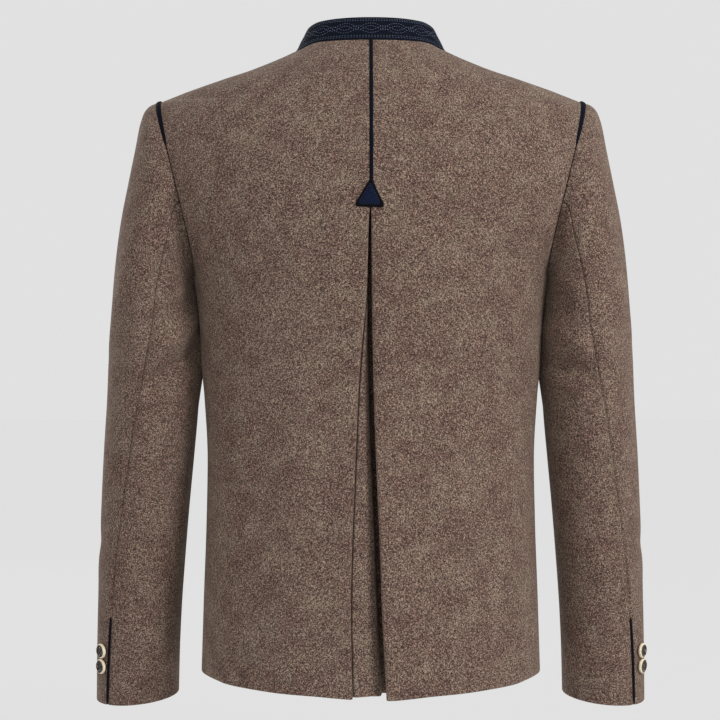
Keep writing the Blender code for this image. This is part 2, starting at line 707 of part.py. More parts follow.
def build_back_trim(navy):
    """Piping down the centre back seam, and the small triangle that it ends in."""
    heights = [read(CENTRE_LINES, "back_height", s) for s in body_stations()[::-1]]
    heights = [height for height in heights if height > TRIANGLE_APEX + PIPING_RUN_IN]
    heights[0] -= 2 * SEAM
    rows = []
    for height in heights + [TRIANGLE_APEX + 2 * SEAM]:
        point, _ = on_back(height, 0.0)
        above = on_back(height + PIPING_RUN_IN, 0.0)[1]
        below = on_back(height - PIPING_RUN_IN, 0.0)[1]
        normal = unit(above + below)
        rows.append(arch(point, normal, np.array((1.0, 0.0, 0.0)), PIPING_HALF_WIDTH, PIPING_PROUD))
    strip("piping_back", rows, navy)
    rows = []
    for share in np.linspace(0, 1, TRIANGLE_ROWS):
        height = TRIANGLE_APEX + (TRIANGLE_BASE - TRIANGLE_APEX) * share
        rounded = min(1.0, TRIANGLE_CORNER_SLOPE * (1 - share) + TRIANGLE_CORNER_WIDTH)
        widening = (TRIANGLE_HALF_WIDTH - TRIANGLE_TIP_HALF_WIDTH) * share
        half_width = (TRIANGLE_TIP_HALF_WIDTH + widening) * rounded
        top, seat = [], []
        for across in TRIANGLE_COLUMNS:
            point, normal = on_back(height, across * half_width + TRIANGLE_OFFSET * share)
            seat.append(point + normal * 2 * SEAM)
            top.append(point + normal * (2 * SEAM + TRIANGLE_THICKNESS))
        rows.append((top, seat))
    strip("back_triangle", rows, navy)


def across_seam(points, normals, step, towards):
    """Unit direction on a surface, square to its seam, at one point of the seam."""
    along = unit(points[step + 1] - points[step - 1])
    aside = unit(np.cross(normals[step], along))
    return aside if aside @ towards > 0 else -aside


def build_armhole_piping(label, place, seam, body_normals, sleeve_normals, navy):
    """Thick piping over the shoulder part of the armhole seam, thinned out towards both ends."""
    inward = np.array((-1.0, 0.0, 0.2))
    steps = np.arange(len(seam))
    body_aside = np.zeros_like(seam)
    sleeve_aside = np.zeros_like(seam)
    for step in steps[1:-1]:
        body_aside[step] = across_seam(seam, body_normals, step, inward)
        sleeve_aside[step] = across_seam(seam, sleeve_normals, step, -inward)
    rows = []
    for degrees in ROLL_TURNS:
        at = degrees / RING_STEP + (len(seam) - 1) / 2
        centre, body, sleeve, left, right = (
            np.array([np.interp(at, steps, values[:, axis]) for axis in range(3)])
            for values in (seam, body_normals, sleeve_normals, body_aside, sleeve_aside)
        )
        middle = unit(body + sleeve)
        taper = math.sqrt(max(0.0, 1 - (abs(degrees) / (ROLL_TURNS[-1] + 1)) ** ROLL_TAPER))
        width = ROLL_HALF_WIDTH * taper
        sides = (
            (left, body),
            (left, unit(body + middle)),
            (left, middle),
            (right, unit(sleeve + middle)),
            (right, sleeve),
        )
        top, seat = [], []
        for share, (aside, normal) in zip(ARCH_SHARES, sides):
            base = centre + aside * width * abs(share) + normal * ROLL_CLEAR
            seat.append(base)
            top.append(base + middle * ROLL_PROUD * taper * arch_lift(share))
        rows.append((place(np.array(top)), place(np.array(seat))))
    strip("piping_armhole_" + label, rows, navy)


def sleeve_frame(ring, angle):
    """Point, normal and sideways direction on the sleeve."""
    centre = sleeve_point(ring, angle)
    middle = (sleeve_point(ring, 0.0) + sleeve_point(ring, math.pi)) / 2
    normal = slope_normal(sleeve_point, ring, angle, centre - middle)
    small = math.radians(2)
    aside = unit(sleeve_point(ring, angle - small) - sleeve_point(ring, angle + small))
    return centre, normal, aside


def build_cuff_trim(navy, horn):
    """Piping on each cuff slit, and its two buttons on the top sleeve."""
    for label, place in (("left", lambda points: points), ("right", mirrored)):
        rows = []
        for ring in SLIT_RINGS:
            seam = math.radians(sleeve_ring(ring, "back_seam"))
            centre, normal, aside = sleeve_frame(ring, seam)
            top, seat = arch(centre, normal, aside, PIPING_HALF_WIDTH, PIPING_PROUD)
            rows.append((place(np.array(top)), place(np.array(seat))))
        strip("piping_cuff_" + label, rows, navy)
        for number, ring in enumerate(CUFF_BUTTON_RINGS, 1):
            centre, normal, _ = sleeve_frame(ring, math.radians(CUFF_BUTTON_ANGLE))
            name = "cuff_button_%s_%d" % (label, number)
            add_button(name, place(centre), place(normal), CUFF_BUTTON_RADIUS, CUFF_BUTTON_HEIGHT, horn)


def add_button(name, centre, normal, radius, height, finish):
    """Turned button on a surface point, dished in the middle."""
    side = unit(np.cross(normal, np.array((0, 0, 1.0))))
    up = np.cross(side, normal)
    turns = np.arange(BUTTON_SIDES) * 2 * math.pi / BUTTON_SIDES
    points = [centre + normal * SEAM]
    for row in BUTTON_PROFILE:
        for turn in turns:
            ring = side * math.cos(turn) + up * math.sin(turn)
            points.append(centre + ring * radius * row.radius + normal * (SEAM + height * row.height))
    points.append(centre + normal * (SEAM + height * BUTTON_CENTRE_HEIGHT))
    last = len(points) - 1
    faces = []
    for k in range(BUTTON_SIDES):
        after = (k + 1) % BUTTON_SIDES
        faces.append((0, 1 + after, 1 + k))
        for row in range(len(BUTTON_PROFILE) - 1):
            low = 1 + row * BUTTON_SIDES
            high = low + BUTTON_SIDES
            faces.append((low + k, low + after, high + after, high + k))
        high = 1 + (len(BUTTON_PROFILE) - 1) * BUTTON_SIDES
        faces.append((high + k, high + after, last))
    if np.cross(side, up) @ normal < 0:
        faces = [face[::-1] for face in faces]
    add_mesh(name, points, faces, finish)


def build_front_buttons(horn):
    """Closure buttons on the left front, on the centre line."""
    for number in range(FRONT_BUTTON_COUNT):
        station = station_at(FRONT_BUTTON_FIRST - number * FRONT_BUTTON_SPACING, -1)
        centre = body_at(station, -1, 0.0)
        normal = centre_normal(station, -1)
        name = "front_button_%d" % (number + 1)
        add_button(name, centre, normal, FRONT_BUTTON_RADIUS, FRONT_BUTTON_HEIGHT, horn)


def build():
    """The whole coat."""
    for old in list(bpy.data.objects):
        bpy.data.objects.remove(old, do_unlink=True)
    tweed = material("heather_tweed", *TWEED)
    navy = material("navy_wool", *NAVY)
    horn = material("stag_horn", *HORN)
    build_body(tweed, navy)
    build_underlay(tweed)
    build_collar(navy)
    build_back_trim(navy)
    build_cuff_trim(navy, horn)
    build_front_buttons(horn)


build()
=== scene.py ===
"""Looks of a trachten coat in heather tweed with navy trim, filled out as worn and seen from behind.

Metres, +Z up. The front faces -Y, the back +Y, and the wearer's left is +X. The origin is on the
neck's centre line, level with the shoulder points beside the collar. Each cloth piece is a fine thin
shell on the form of its solid, with soft uneven creases, and each carries its own cut as its UV map.
"""

import logging
import math
from dataclasses import dataclass, replace
from enum import Enum
from typing import Any, Callable, Sequence

import bpy
import numpy as np
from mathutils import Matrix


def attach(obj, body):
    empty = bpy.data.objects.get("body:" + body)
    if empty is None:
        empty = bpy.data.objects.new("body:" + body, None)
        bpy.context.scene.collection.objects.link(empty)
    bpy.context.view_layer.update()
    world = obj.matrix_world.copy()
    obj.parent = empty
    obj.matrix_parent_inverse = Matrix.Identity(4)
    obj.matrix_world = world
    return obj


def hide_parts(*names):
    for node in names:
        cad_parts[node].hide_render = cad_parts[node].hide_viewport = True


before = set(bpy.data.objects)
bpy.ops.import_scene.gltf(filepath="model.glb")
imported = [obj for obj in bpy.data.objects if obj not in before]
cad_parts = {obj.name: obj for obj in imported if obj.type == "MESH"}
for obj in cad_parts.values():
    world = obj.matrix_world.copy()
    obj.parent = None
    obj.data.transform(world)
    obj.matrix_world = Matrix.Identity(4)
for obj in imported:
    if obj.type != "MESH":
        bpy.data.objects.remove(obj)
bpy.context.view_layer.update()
LOG = logging.getLogger("trachten_coat")
ACROSS, BACKWARD, UP = np.eye(3)
LEVEL = ACROSS + BACKWARD
Array = np.ndarray
Material, Piece = bpy.types.Material, bpy.types.Object
Row = tuple[float, ...]


class Labelled(Enum):
    """Choice whose name, in small letters, stands in the names of nodes and columns."""

    @property
    def label(self) -> str:
        """The name in small letters."""
        return self.name.lower()


class Side(Labelled):
    """The wearer's side, with its sign along X."""

    LEFT = 1
    RIGHT = -1


class Face(Labelled):
    """Back or front of the body, with its sign along Y."""

    BACK = 1
    FRONT = -1


# Numbers and vectors


def unit(vectors: Array) -> Array:
    """Vectors brought to length one."""
    return vectors / np.maximum(np.linalg.norm(vectors, axis=-1, keepdims=True), 1e-12)


def smooth(share: Array) -> Array:
    """Share from 0 to 1 with level ends: 3 s squared less 2 s cubed."""
    share = np.clip(share, 0.0, 1.0)
    return share * share * (3 - 2 * share)


def bell(share: Array) -> Array:
    """Bell curve, 1 in the middle: e to the power of minus the share squared."""
    return np.exp(-share ** 2)


def stack(x: Array, y: Array, z: Array) -> Array:
    """Points from three arrays that broadcast together."""
    return np.stack(np.broadcast_arrays(x, y, z), axis=-1).astype(float)


def full_turn(sides: int) -> Array:
    """Angles of points spaced evenly round a ring."""
    return np.arange(sides) * 2 * np.pi / sides


def numbered(rows: int, columns: int) -> Array:
    """Vertex numbers of a grid, row by row."""
    return np.arange(rows * columns).reshape(rows, columns)


@dataclass(frozen=True)
class Track:
    """Smooth curve through stations and values that never overshoots between two of them.

    Between two rows it is a cubic. Its slope at a row is the harmonic mean of the slopes on both
    sides, or level where they differ in sign.
    """

    stations: Row
    values: Row

    def __call__(self, at: Array | float) -> Array:
        """Value at each place along the stations."""
        stations, values = np.array(self.stations, float), np.array(self.values, float)
        steps = np.diff(stations)
        slopes = np.diff(values) / steps
        before, after = slopes[:-1], slopes[1:]
        same = before * after > 0
        tangents = np.concatenate([slopes[:1], np.zeros(len(before)), slopes[-1:]])
        tangents[1:-1] = np.where(same, 2 * before * after / np.where(same, before + after, 1.0), 0.0)
        at = np.clip(np.asarray(at, float), stations[0], stations[-1])
        k = np.clip(np.searchsorted(stations, at) - 1, 0, len(steps) - 1)
        t = (at - stations[k]) / steps[k]
        rise = values[k] + (values[k + 1] - values[k]) * t * t * (3 - 2 * t)
        return rise + t * (1 - t) * ((1 - t) * tangents[k] - t * tangents[k + 1]) * steps[k]


@dataclass(frozen=True)
class Table:
    """Rows of sizes in named columns, each column read as a smooth curve."""

    columns: tuple[str, ...]
    rows: tuple[Row, ...]

    def track(self, value: str, key: str = "") -> Track:
        """A column as a curve of the key's column, or of the row's number."""
        picked = [[row[self.columns.index(name)] for row in self.rows] for name in (value, key or value)]
        return Track(tuple(picked[1]) if key else tuple(range(len(self.rows))), tuple(picked[0]))


def cell_vectors(points: Array) -> Array:
    """Vector square to each cell of a grid, twice its area long: its diagonals' cross product."""
    return np.cross(points[1:, 1:] - points[:-1, :-1], points[1:, :-1] - points[:-1, 1:])


def grid_normals(points: Array, outside: Array) -> Array:
    """Unit normals of a grid, each the mean of the cells around its point.

    Args:
        points: Grid of points, rows by columns by 3.
        outside: Vector or grid of vectors that says which side is the outer one.

    Returns:
        A grid of unit normals on that side.
    """
    cells, total = cell_vectors(points), np.zeros_like(points)
    for rows in (slice(None, -1), slice(1, None)):
        for columns in (slice(None, -1), slice(1, None)):
            total[rows, columns] += cells
    total = unit(total)
    return total * np.sign(np.sum(total * outside))


def pushed(points: Array, outside: Array, height: Array) -> Array:
    """Points of a grid moved along their normals, outwards where the height is positive."""
    return points + grid_normals(points, outside) * height[..., None]


def along_rows(points: Array) -> Array:
    """Distance of each point from its row's first point, measured along the row."""
    steps = np.linalg.norm(np.diff(points, axis=1), axis=-1)
    return np.concatenate([np.zeros((len(points), 1)), np.cumsum(steps, axis=1)], axis=1)


def down_columns(points: Array) -> Array:
    """Distance of each point from its column's first point, measured down the column."""
    return along_rows(points.swapaxes(0, 1)).T


def placed(points: Array, side: Side) -> Array:
    """Points worked out for the left side, brought to the side asked for."""
    return points if side is Side.LEFT else points * (1 - 2 * ACROSS)


@dataclass(frozen=True)
class Settling:
    """Small drop of the worn cloth, in millimetres, read by the distance from the centre plane.

    The shoulders sag between the collar and the armhole. The hem hangs lower at the pleat and is
    drawn up towards the side seams.
    """

    shoulder: Track = Track(
        (0.000, 0.055, 0.067, 0.076, 0.100, 0.130, 0.150, 0.165, 0.185, 0.205, 0.225, 0.243, 0.300),
        (0.0, 0.0, -1.6, -4.0, -3.9, -4.0, -3.5, -3.0, -2.0, -1.3, -1.2, -2.0, 0.0),
    )
    hem: Track = Track(
        (0.000, 0.020, 0.035, 0.060, 0.095, 0.126, 0.153, 0.166, 0.179, 0.190),
        (-2.6, -3.6, -2.8, -1.2, 0.0, 1.8, 3.3, 5.3, 6.4, 6.2),
    )
    shoulder_fades: tuple[float, float] = (-0.150, -0.070)
    hem_fades: tuple[float, float] = (-0.620, -0.686)
    hem_reach: float = 0.192

    def __call__(self, points: Array) -> Array:
        """Points let down by both drops, each faded over its own heights."""
        across, height = np.abs(points[..., 0]), points[..., 2]
        high, low = (
            smooth((height - start) / (end - start)) for start, end in (self.shoulder_fades, self.hem_fades)
        )
        drop = self.shoulder(across) * high + self.hem(across) * low * (across < self.hem_reach)
        return points + drop[..., None] * (0.001 * UP)


SETTLED = Settling()


# Meshes


def mesh_object(name: str, points: Array, faces: Array, uv: Array, finish: Material) -> Piece:
    """Smooth-shaded object from whole arrays.

    Args:
        name: The piece's name.
        points: Vertices, n by 3.
        faces: Vertex numbers of the quads, m by 4.
        uv: Each vertex's place on the cut cloth in metres, n by 2.
        finish: The piece's material.

    Returns:
        The linked object, at the origin.
    """
    mesh = bpy.data.meshes.new(name)
    mesh.vertices.add(len(points))
    mesh.vertices.foreach_set("co", SETTLED(points).astype(np.float32).ravel())
    mesh.loops.add(faces.size)
    mesh.loops.foreach_set("vertex_index", faces.astype(np.int32).ravel())
    mesh.polygons.add(len(faces))
    mesh.polygons.foreach_set("loop_start", np.arange(0, faces.size, 4, dtype=np.int32))
    layer = mesh.uv_layers.new(name="cut")
    layer.data.foreach_set("uv", uv[faces.ravel()].astype(np.float32).ravel())
    mesh.update(calc_edges=True)
    mesh.validate()
    mesh.shade_smooth()
    mesh.materials.append(finish)
    piece = bpy.data.objects.new(name, mesh)
    bpy.context.scene.collection.objects.link(piece)
    return piece


def grid_faces(place: Array) -> Array:
    """Quads of a grid of vertex numbers."""
    return np.stack([place[:-1, :-1], place[:-1, 1:], place[1:, 1:], place[1:, :-1]], axis=-1).reshape(-1, 4)


def ring_faces(loops: Array) -> Array:
    """Quads between closed loops of vertex numbers, one loop in each row."""
    after = np.roll(loops, -1, axis=1)
    return np.stack([loops[:-1], loops[1:], after[1:], after[:-1]], axis=-1).reshape(-1, 4)


def shell_object(name: str, rings: Array, uv: Array, finish: Material) -> Piece:
    """Closed shell from rings of points, the first and the last ring drawn into a point.

    The faces are turned so that the volume under them, measured from the middle, is positive.

    Args:
        name: The piece's name.
        rings: Points, rings by sides by 3.
        uv: Their places on the cut, rings by sides by 2.
        finish: The piece's material.

    Returns:
        The linked object.
    """
    points, faces = rings.reshape(-1, 3), ring_faces(numbered(*rings.shape[:2]))
    corners = (points - points.mean(axis=0))[faces]
    areas = np.cross(corners[:, 2] - corners[:, 0], corners[:, 3] - corners[:, 1])
    if np.sum(areas * corners.mean(axis=1)) < 0:
        faces = faces[:, ::-1]
    return mesh_object(name, points, faces, uv.reshape(-1, 2), finish)


def tube(name: str, path: Array, aside: Array, up: Array, widths: Array, heights: Array,
         finish: Material, sides: int = 16) -> Piece:
    """Closed oval tube along a path, with both ends drawn in.

    Each ring is the path's point plus the cosine along aside times the width, plus the sine along up
    times the height.

    Args:
        name: The piece's name.
        path: Centre points, n by 3.
        aside: Sideways directions.
        up: Outward directions.
        widths: Half widths along the path.
        heights: Half heights along the path.
        finish: The material.
        sides: Points round each ring.

    Returns:
        The tube's object.
    """
    turns = full_turn(sides)
    rings = (
        path[:, None]
        + aside[:, None] * (widths[:, None] * np.cos(turns))[..., None]
        + up[:, None] * (heights[:, None] * np.sin(turns))[..., None]
    )
    rings = np.concatenate([path[:1, None] + 0 * rings[:1], rings, path[-1:, None] + 0 * rings[-1:]])
    uv = stack(turns / (2 * np.pi) * 0.01, along_rows(rings[None, :, 0])[0][:, None], 0.0)[..., :2]
    return shell_object(name, rings, uv, finish)


@dataclass
class Cloth:
    """Closed thin wall on a grid of outer points, with a rounded rim.

    The rim's half circle ends half a seam inside the grid's border, so two walls that share a border
    meet there. The inner side lies one thickness under the outer one along its normals.
    """

    name: str
    outer: Array
    outside: Array
    thickness: float = 0.0017
    seam: float = -0.00008
    rim_steps: int = 3
    origin_column: int = 0

    def border(self) -> tuple[Array, Array]:
        """Directions out of the border, and moves that draw it in.

        The border moves in by half the wall and the seam, and the points behind it by less, down to
        nothing at four times that depth.

        Returns:
            Two grids of vectors, the first one zero away from the border.
        """
        depth = self.thickness / 2 + self.seam
        out, moves = np.zeros_like(self.outer), np.zeros_like(self.outer)
        for axis in (0, 1):
            for step in (1, -1):
                grid, out_side, move_side = (
                    np.swapaxes(values, 0, axis)[::step] for values in (self.outer, out, moves)
                )
                ahead = unit(grid[0] - grid[1])
                share = depth * np.clip(1 - down_columns(grid) / (4 * depth), 0, 1)
                out_side[0] += ahead
                move_side -= ahead * share[..., None]
        return out, moves

    def chart(self) -> Array:
        """Place of each point on the flat cut: along its row, and along its column, in metres."""
        across = along_rows(self.outer)
        across -= across[:, self.origin_column:self.origin_column + 1]
        return np.stack([across, down_columns(self.outer)], axis=-1)

    def flat(self) -> tuple[tuple[float, float], float]:
        """Width, length and area of the cut: the longest row, the longest column and the face's area."""
        chart = self.chart()
        width, length = (float(np.max(np.ptp(chart[..., k], axis=1 - k))) for k in (0, 1))
        area = float(np.sum(np.linalg.norm(cell_vectors(self.outer), axis=-1)) / 2)
        return (round(width, 4), round(length, 4)), min(area, width * length)

    def build(self, finish: Material) -> Piece:
        """Mesh object of the wall: outer grid, inner grid, and rim rings between their borders.

        Args:
            finish: The cloth's material.

        Returns:
            The linked object.
        """
        half = self.thickness / 2
        normals = grid_normals(self.outer, self.outside)
        out, moves = self.border()
        outer = self.outer + moves
        inner = outer - normals * self.thickness
        place = numbered(*outer.shape[:2])
        loop = np.concatenate([place[0, :-1], place[:-1, -1], place[-1, :0:-1], place[:0:-1, 0]])
        middle, out, up = (grid.reshape(-1, 3)[loop] for grid in (outer - normals * half, out, normals))
        turns = (np.pi * np.arange(1, self.rim_steps + 1) / (self.rim_steps + 1))[:, None, None]
        rim = middle + up * half * np.cos(turns) + out * half * np.sin(turns)
        rim_place = 2 * place.size + numbered(*rim.shape[:2])
        faces = np.concatenate([
            grid_faces(place),
            grid_faces(place + place.size)[:, ::-1],
            ring_faces(np.concatenate([loop[None], rim_place, loop[None] + place.size])),
        ])
        if np.sum(cell_vectors(outer) * normals[:-1, :-1]) < 0:
            faces = faces[:, ::-1]
        chart = self.chart().reshape(-1, 2)
        uv = np.concatenate([chart, chart, np.tile(chart[loop], (self.rim_steps, 1))])
        points = np.concatenate([grid.reshape(-1, 3) for grid in (outer, inner, rim)])
        return mesh_object(self.name, points, faces, uv, finish)


def dress(piece: Piece, nodes: Sequence[str] = ()) -> Piece:
    """Let a piece ride on the coat's body and stand for its CAD nodes.

    Args:
        piece: The new object.
        nodes: CAD nodes that it replaces.

    Returns:
        The same object.
    """
    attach(piece, "root")
    if nodes:
        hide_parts(*nodes)
    LOG.info("%s: %d faces", piece.name, len(piece.data.polygons))
    return piece


def dress_sheet(cloth: Cloth, finish: Material, node: str) -> None:
    piece = dress(cloth.build(finish), [node])
    flat, area = cloth.flat()


# Forms

# Half width of the body at a height of the side line.
SIDE_LINE = Table(("height", "half_width"), (
    (-0.686, 0.1854), (-0.600, 0.1830), (-0.520, 0.1802), (-0.450, 0.1790), (-0.380, 0.1826),
    (-0.350, 0.1855), (-0.310, 0.1875), (-0.276, 0.1905), (-0.250, 0.1940),
))
# Centre back and centre front; a station is 0 at the hem, 1 underarm, 2 shoulder tip, 3 neck.
CENTRE_LINES = Table(("station", "back_height", "back_depth", "front_height", "front_depth"), (
    (0.000, -0.686, 0.1380, -0.686, 0.1350), (0.197, -0.600, 0.1315, -0.600, 0.1340),
    (0.381, -0.520, 0.1220, -0.520, 0.1310), (0.541, -0.450, 0.1140, -0.450, 0.1280),
    (0.702, -0.380, 0.1130, -0.380, 0.1290), (0.885, -0.300, 0.1185, -0.300, 0.1330),
    (1.000, -0.250, 0.1230, -0.251, 0.1340), (1.200, -0.221, 0.1255, -0.230, 0.1325),
    (1.400, -0.175, 0.1272, -0.204, 0.1285), (1.500, -0.154, 0.1262, -0.191, 0.1255),
    (1.600, -0.129, 0.1240, -0.178, 0.1220), (1.800, -0.089, 0.1140, -0.152, 0.1140),
    (2.000, -0.061, 0.1030, -0.130, 0.1050), (2.300, -0.043, 0.0940, -0.117, 0.0980),
    (2.650, -0.020, 0.0790, -0.099, 0.0865), (3.000, 0.002, 0.0620, -0.080, 0.0750),
))
# Angle in degrees, round its oval, at which a section meets the panel's edge.
END_ANGLES = Table(("station", "angle"), (
    (0.0, 90), (1.0, 90), (1.2, 72), (1.4, 57), (1.6, 52), (1.8, 56), (2.0, 66), (2.2, 81), (2.5, 90),
    (3.0, 90),
))
# Shoulder seam, from the armhole to the neck.
SHOULDER_LINE = Table(("share", "across", "height"), (
    (0.00, 0.2325, -0.0570), (0.23, 0.1980, -0.0440), (0.44, 0.1660, -0.0330), (0.66, 0.1330, -0.0220),
    (0.85, 0.1040, -0.0105), (1.00, 0.0820, 0.0000),
))
# Both folds of the pleat, how far the right one stands out, and the folded-in width.
PLEAT = Table(("height", "left_fold", "right_fold", "right_lift", "return_width"), (
    (-0.690, 0.0192, -0.0156, 0.0075, 0.030), (-0.600, 0.0211, -0.0108, 0.0070, 0.028),
    (-0.540, 0.0200, -0.0088, 0.0062, 0.026), (-0.470, 0.0172, -0.0058, 0.0050, 0.023),
    (-0.390, 0.0139, -0.0028, 0.0036, 0.019), (-0.336, 0.0107, -0.0014, 0.0024, 0.016),
    (-0.283, 0.0056, -0.0006, 0.0014, 0.013), (-0.262, 0.0044, -0.0004, 0.0009, 0.012),
    (-0.225, 0.0034, -0.0001, 0.0005, 0.011), (-0.195, 0.0025, 0.0003, 0.0002, 0.010),
    (-0.180, 0.0014, 0.0008, 0.0000, 0.009), (-0.160, 0.0014, 0.0010, 0.0000, 0.008),
))
# Rings of the sleeve: outer and inner points, lean forward, half depth and the back seam's angle.
SLEEVE_RINGS = Table((
    "outer", "outer_height", "inner", "inner_height", "forward", "half_depth", "back_seam",
), (
    (0.2325, -0.0570, 0.1940, -0.2500, 0.0000, 0.0660, 101),
    (0.2400, -0.0592, 0.1943, -0.2520, 0.0000, 0.0668, 102),
    (0.2470, -0.0655, 0.1945, -0.2545, 0.0000, 0.0676, 104),
    (0.2525, -0.0800, 0.1946, -0.2575, 0.0000, 0.0683, 106),
    (0.2580, -0.1090, 0.1945, -0.2620, 0.0000, 0.0690, 107),
    (0.2660, -0.1490, 0.1944, -0.2685, 0.0000, 0.0698, 106),
    (0.2740, -0.1900, 0.1942, -0.2780, 0.0005, 0.0700, 104),
    (0.2800, -0.2350, 0.1935, -0.2930, 0.0015, 0.0700, 100),
    (0.2845, -0.2850, 0.1903, -0.3180, 0.0035, 0.0690, 95),
    (0.2880, -0.3350, 0.1880, -0.3550, 0.0060, 0.0665, 86),
    (0.2905, -0.3850, 0.1908, -0.3980, 0.0090, 0.0630, 78),
    (0.2945, -0.4400, 0.1955, -0.4480, 0.0130, 0.0590, 72),
    (0.2980, -0.5000, 0.2010, -0.5030, 0.0175, 0.0550, 66),
    (0.3010, -0.5600, 0.2060, -0.5590, 0.0225, 0.0520, 59),
    (0.3035, -0.6200, 0.2105, -0.6160, 0.0280, 0.0490, 55),
    (0.3050, -0.6700, 0.2130, -0.6640, 0.0320, 0.0470, 52),
    (0.3060, -0.7185, 0.2145, -0.7110, 0.0360, 0.0455, 50),
))


@dataclass(frozen=True)
class BodyForm:
    """Outer surface of the body: squared ovals from the centre line to each panel's edge."""

    hem_height: float = -0.686
    underarm_height: float = -0.250
    squareness: float = 2.2
    fall_power: float = 1.25
    tip_across: float = 0.2325
    tip_height: float = -0.0570
    underarm_across: float = 0.1940
    armhole_half_depth: float = 0.066
    armhole_bow: float = 0.009

    def armhole(self, turn: Array) -> Array:
        """Points of the armhole seam: a leaning oval, bowed in low down.

        Args:
            turn: Angle, 0 at the shoulder tip, pi at the underarm, positive behind.

        Returns:
            The seam's points.
        """
        low = (1 - np.cos(turn)) / 2
        return stack(
            self.tip_across + (self.underarm_across - self.tip_across) * low
            - self.armhole_bow * np.abs(np.sin(turn)) * low,
            self.armhole_half_depth * np.sin(turn),
            self.tip_height + (self.underarm_height - self.tip_height) * low,
        )

    def edge(self, station: Array, face: Face) -> Array:
        """Outer edge of a panel: the side seam, then the armhole, then the shoulder seam."""
        height = self.hem_height + (self.underarm_height - self.hem_height) * np.clip(station, 0, 1)
        side = stack(SIDE_LINE.track("half_width", "height")(height), 0.0, height)
        arm = self.armhole(face.value * np.pi * (2 - np.clip(station, 1, 2)))
        across, rise = (
            SHOULDER_LINE.track(name, "share")(np.clip(station - 2, 0, 1)) for name in ("across", "height")
        )
        low, mid = (station <= 1)[..., None], (station <= 2)[..., None]
        return np.where(low, side, np.where(mid, arm, stack(across, 0.0, rise)))

    def centre(self, station: Array, face: Face) -> tuple[Array, Array]:
        """Height and depth of the centre line at each station."""
        names = (face.label + "_height", face.label + "_depth")
        return tuple(CENTRE_LINES.track(name, "station")(station) for name in names)

    def station_at(self, height: Array | float, face: Face) -> Array:
        """Station at which the centre line reaches a height."""
        return CENTRE_LINES.track("station", face.label + "_height")(height)

    def end_angle(self, station: Array) -> Array:
        """Angle at which each section meets the panel's edge."""
        return np.radians(END_ANGLES.track("angle", "station")(station))

    def angle_at(self, station: Array, face: Face, across: Array) -> Array:
        """Angle along a section at a distance from the centre line."""
        width = self.edge(station, face)[..., 0]
        share = (np.abs(across) / width) ** (self.squareness / 2) * np.sin(self.end_angle(station))
        return np.copysign(np.arcsin(np.minimum(1.0, share)), across)

    def point(self, station: Array, face: Face, angle: Array) -> Array:
        """Points of the surface.

        Across runs with the sine of the angle, and depth and height with its cosine, each to a power
        that squares the oval, and all three reach the panel's edge at the section's last angle.

        Args:
            station: Stations, which broadcast with the angles.
            face: Back or front.
            angle: Angles round the oval, 0 on the centre line.

        Returns:
            The surface's points.
        """
        edge, end = self.edge(station, face), self.end_angle(station)
        height, depth = self.centre(station, face)
        level, last = np.maximum(np.cos(angle), 0.0), np.maximum(np.cos(end), 0.0)
        across = edge[..., 0] * (np.abs(np.sin(angle)) / np.sin(end)) ** (2 / self.squareness)
        inward, upward = (
            (level ** power - last ** power) / (1 - last ** power)
            for power in (2 / self.squareness, self.fall_power)
        )
        return stack(
            np.copysign(across, angle),
            edge[..., 1] + (face.value * depth - edge[..., 1]) * inward,
            edge[..., 2] + (height - edge[..., 2]) * upward,
        )

    def at(self, station: Array, face: Face, across: Array) -> Array:
        """Points of the surface at distances from the centre line."""
        return self.point(station, face, self.angle_at(station, face, across))

    def centre_normal(self, station: Array, face: Face, reach: float = 2e-3) -> Array:
        """Outward direction on the centre line, square to X, from a small step along it."""
        high, deep = self.centre(station + reach, face)
        low, flat = self.centre(station - reach, face)
        return unit(stack(0.0, (high - low) * face.value, flat - deep))

    def back_at(self, across: Array, height: Array) -> tuple[Array, Array]:
        """Point and outward normal of the back near its centre line, at a place and a height."""
        station = self.station_at(height, Face.BACK)
        points = self.at(station, Face.BACK, np.maximum(np.abs(across), 1e-5))
        return stack(across, points[..., 1], height), self.centre_normal(station, Face.BACK)


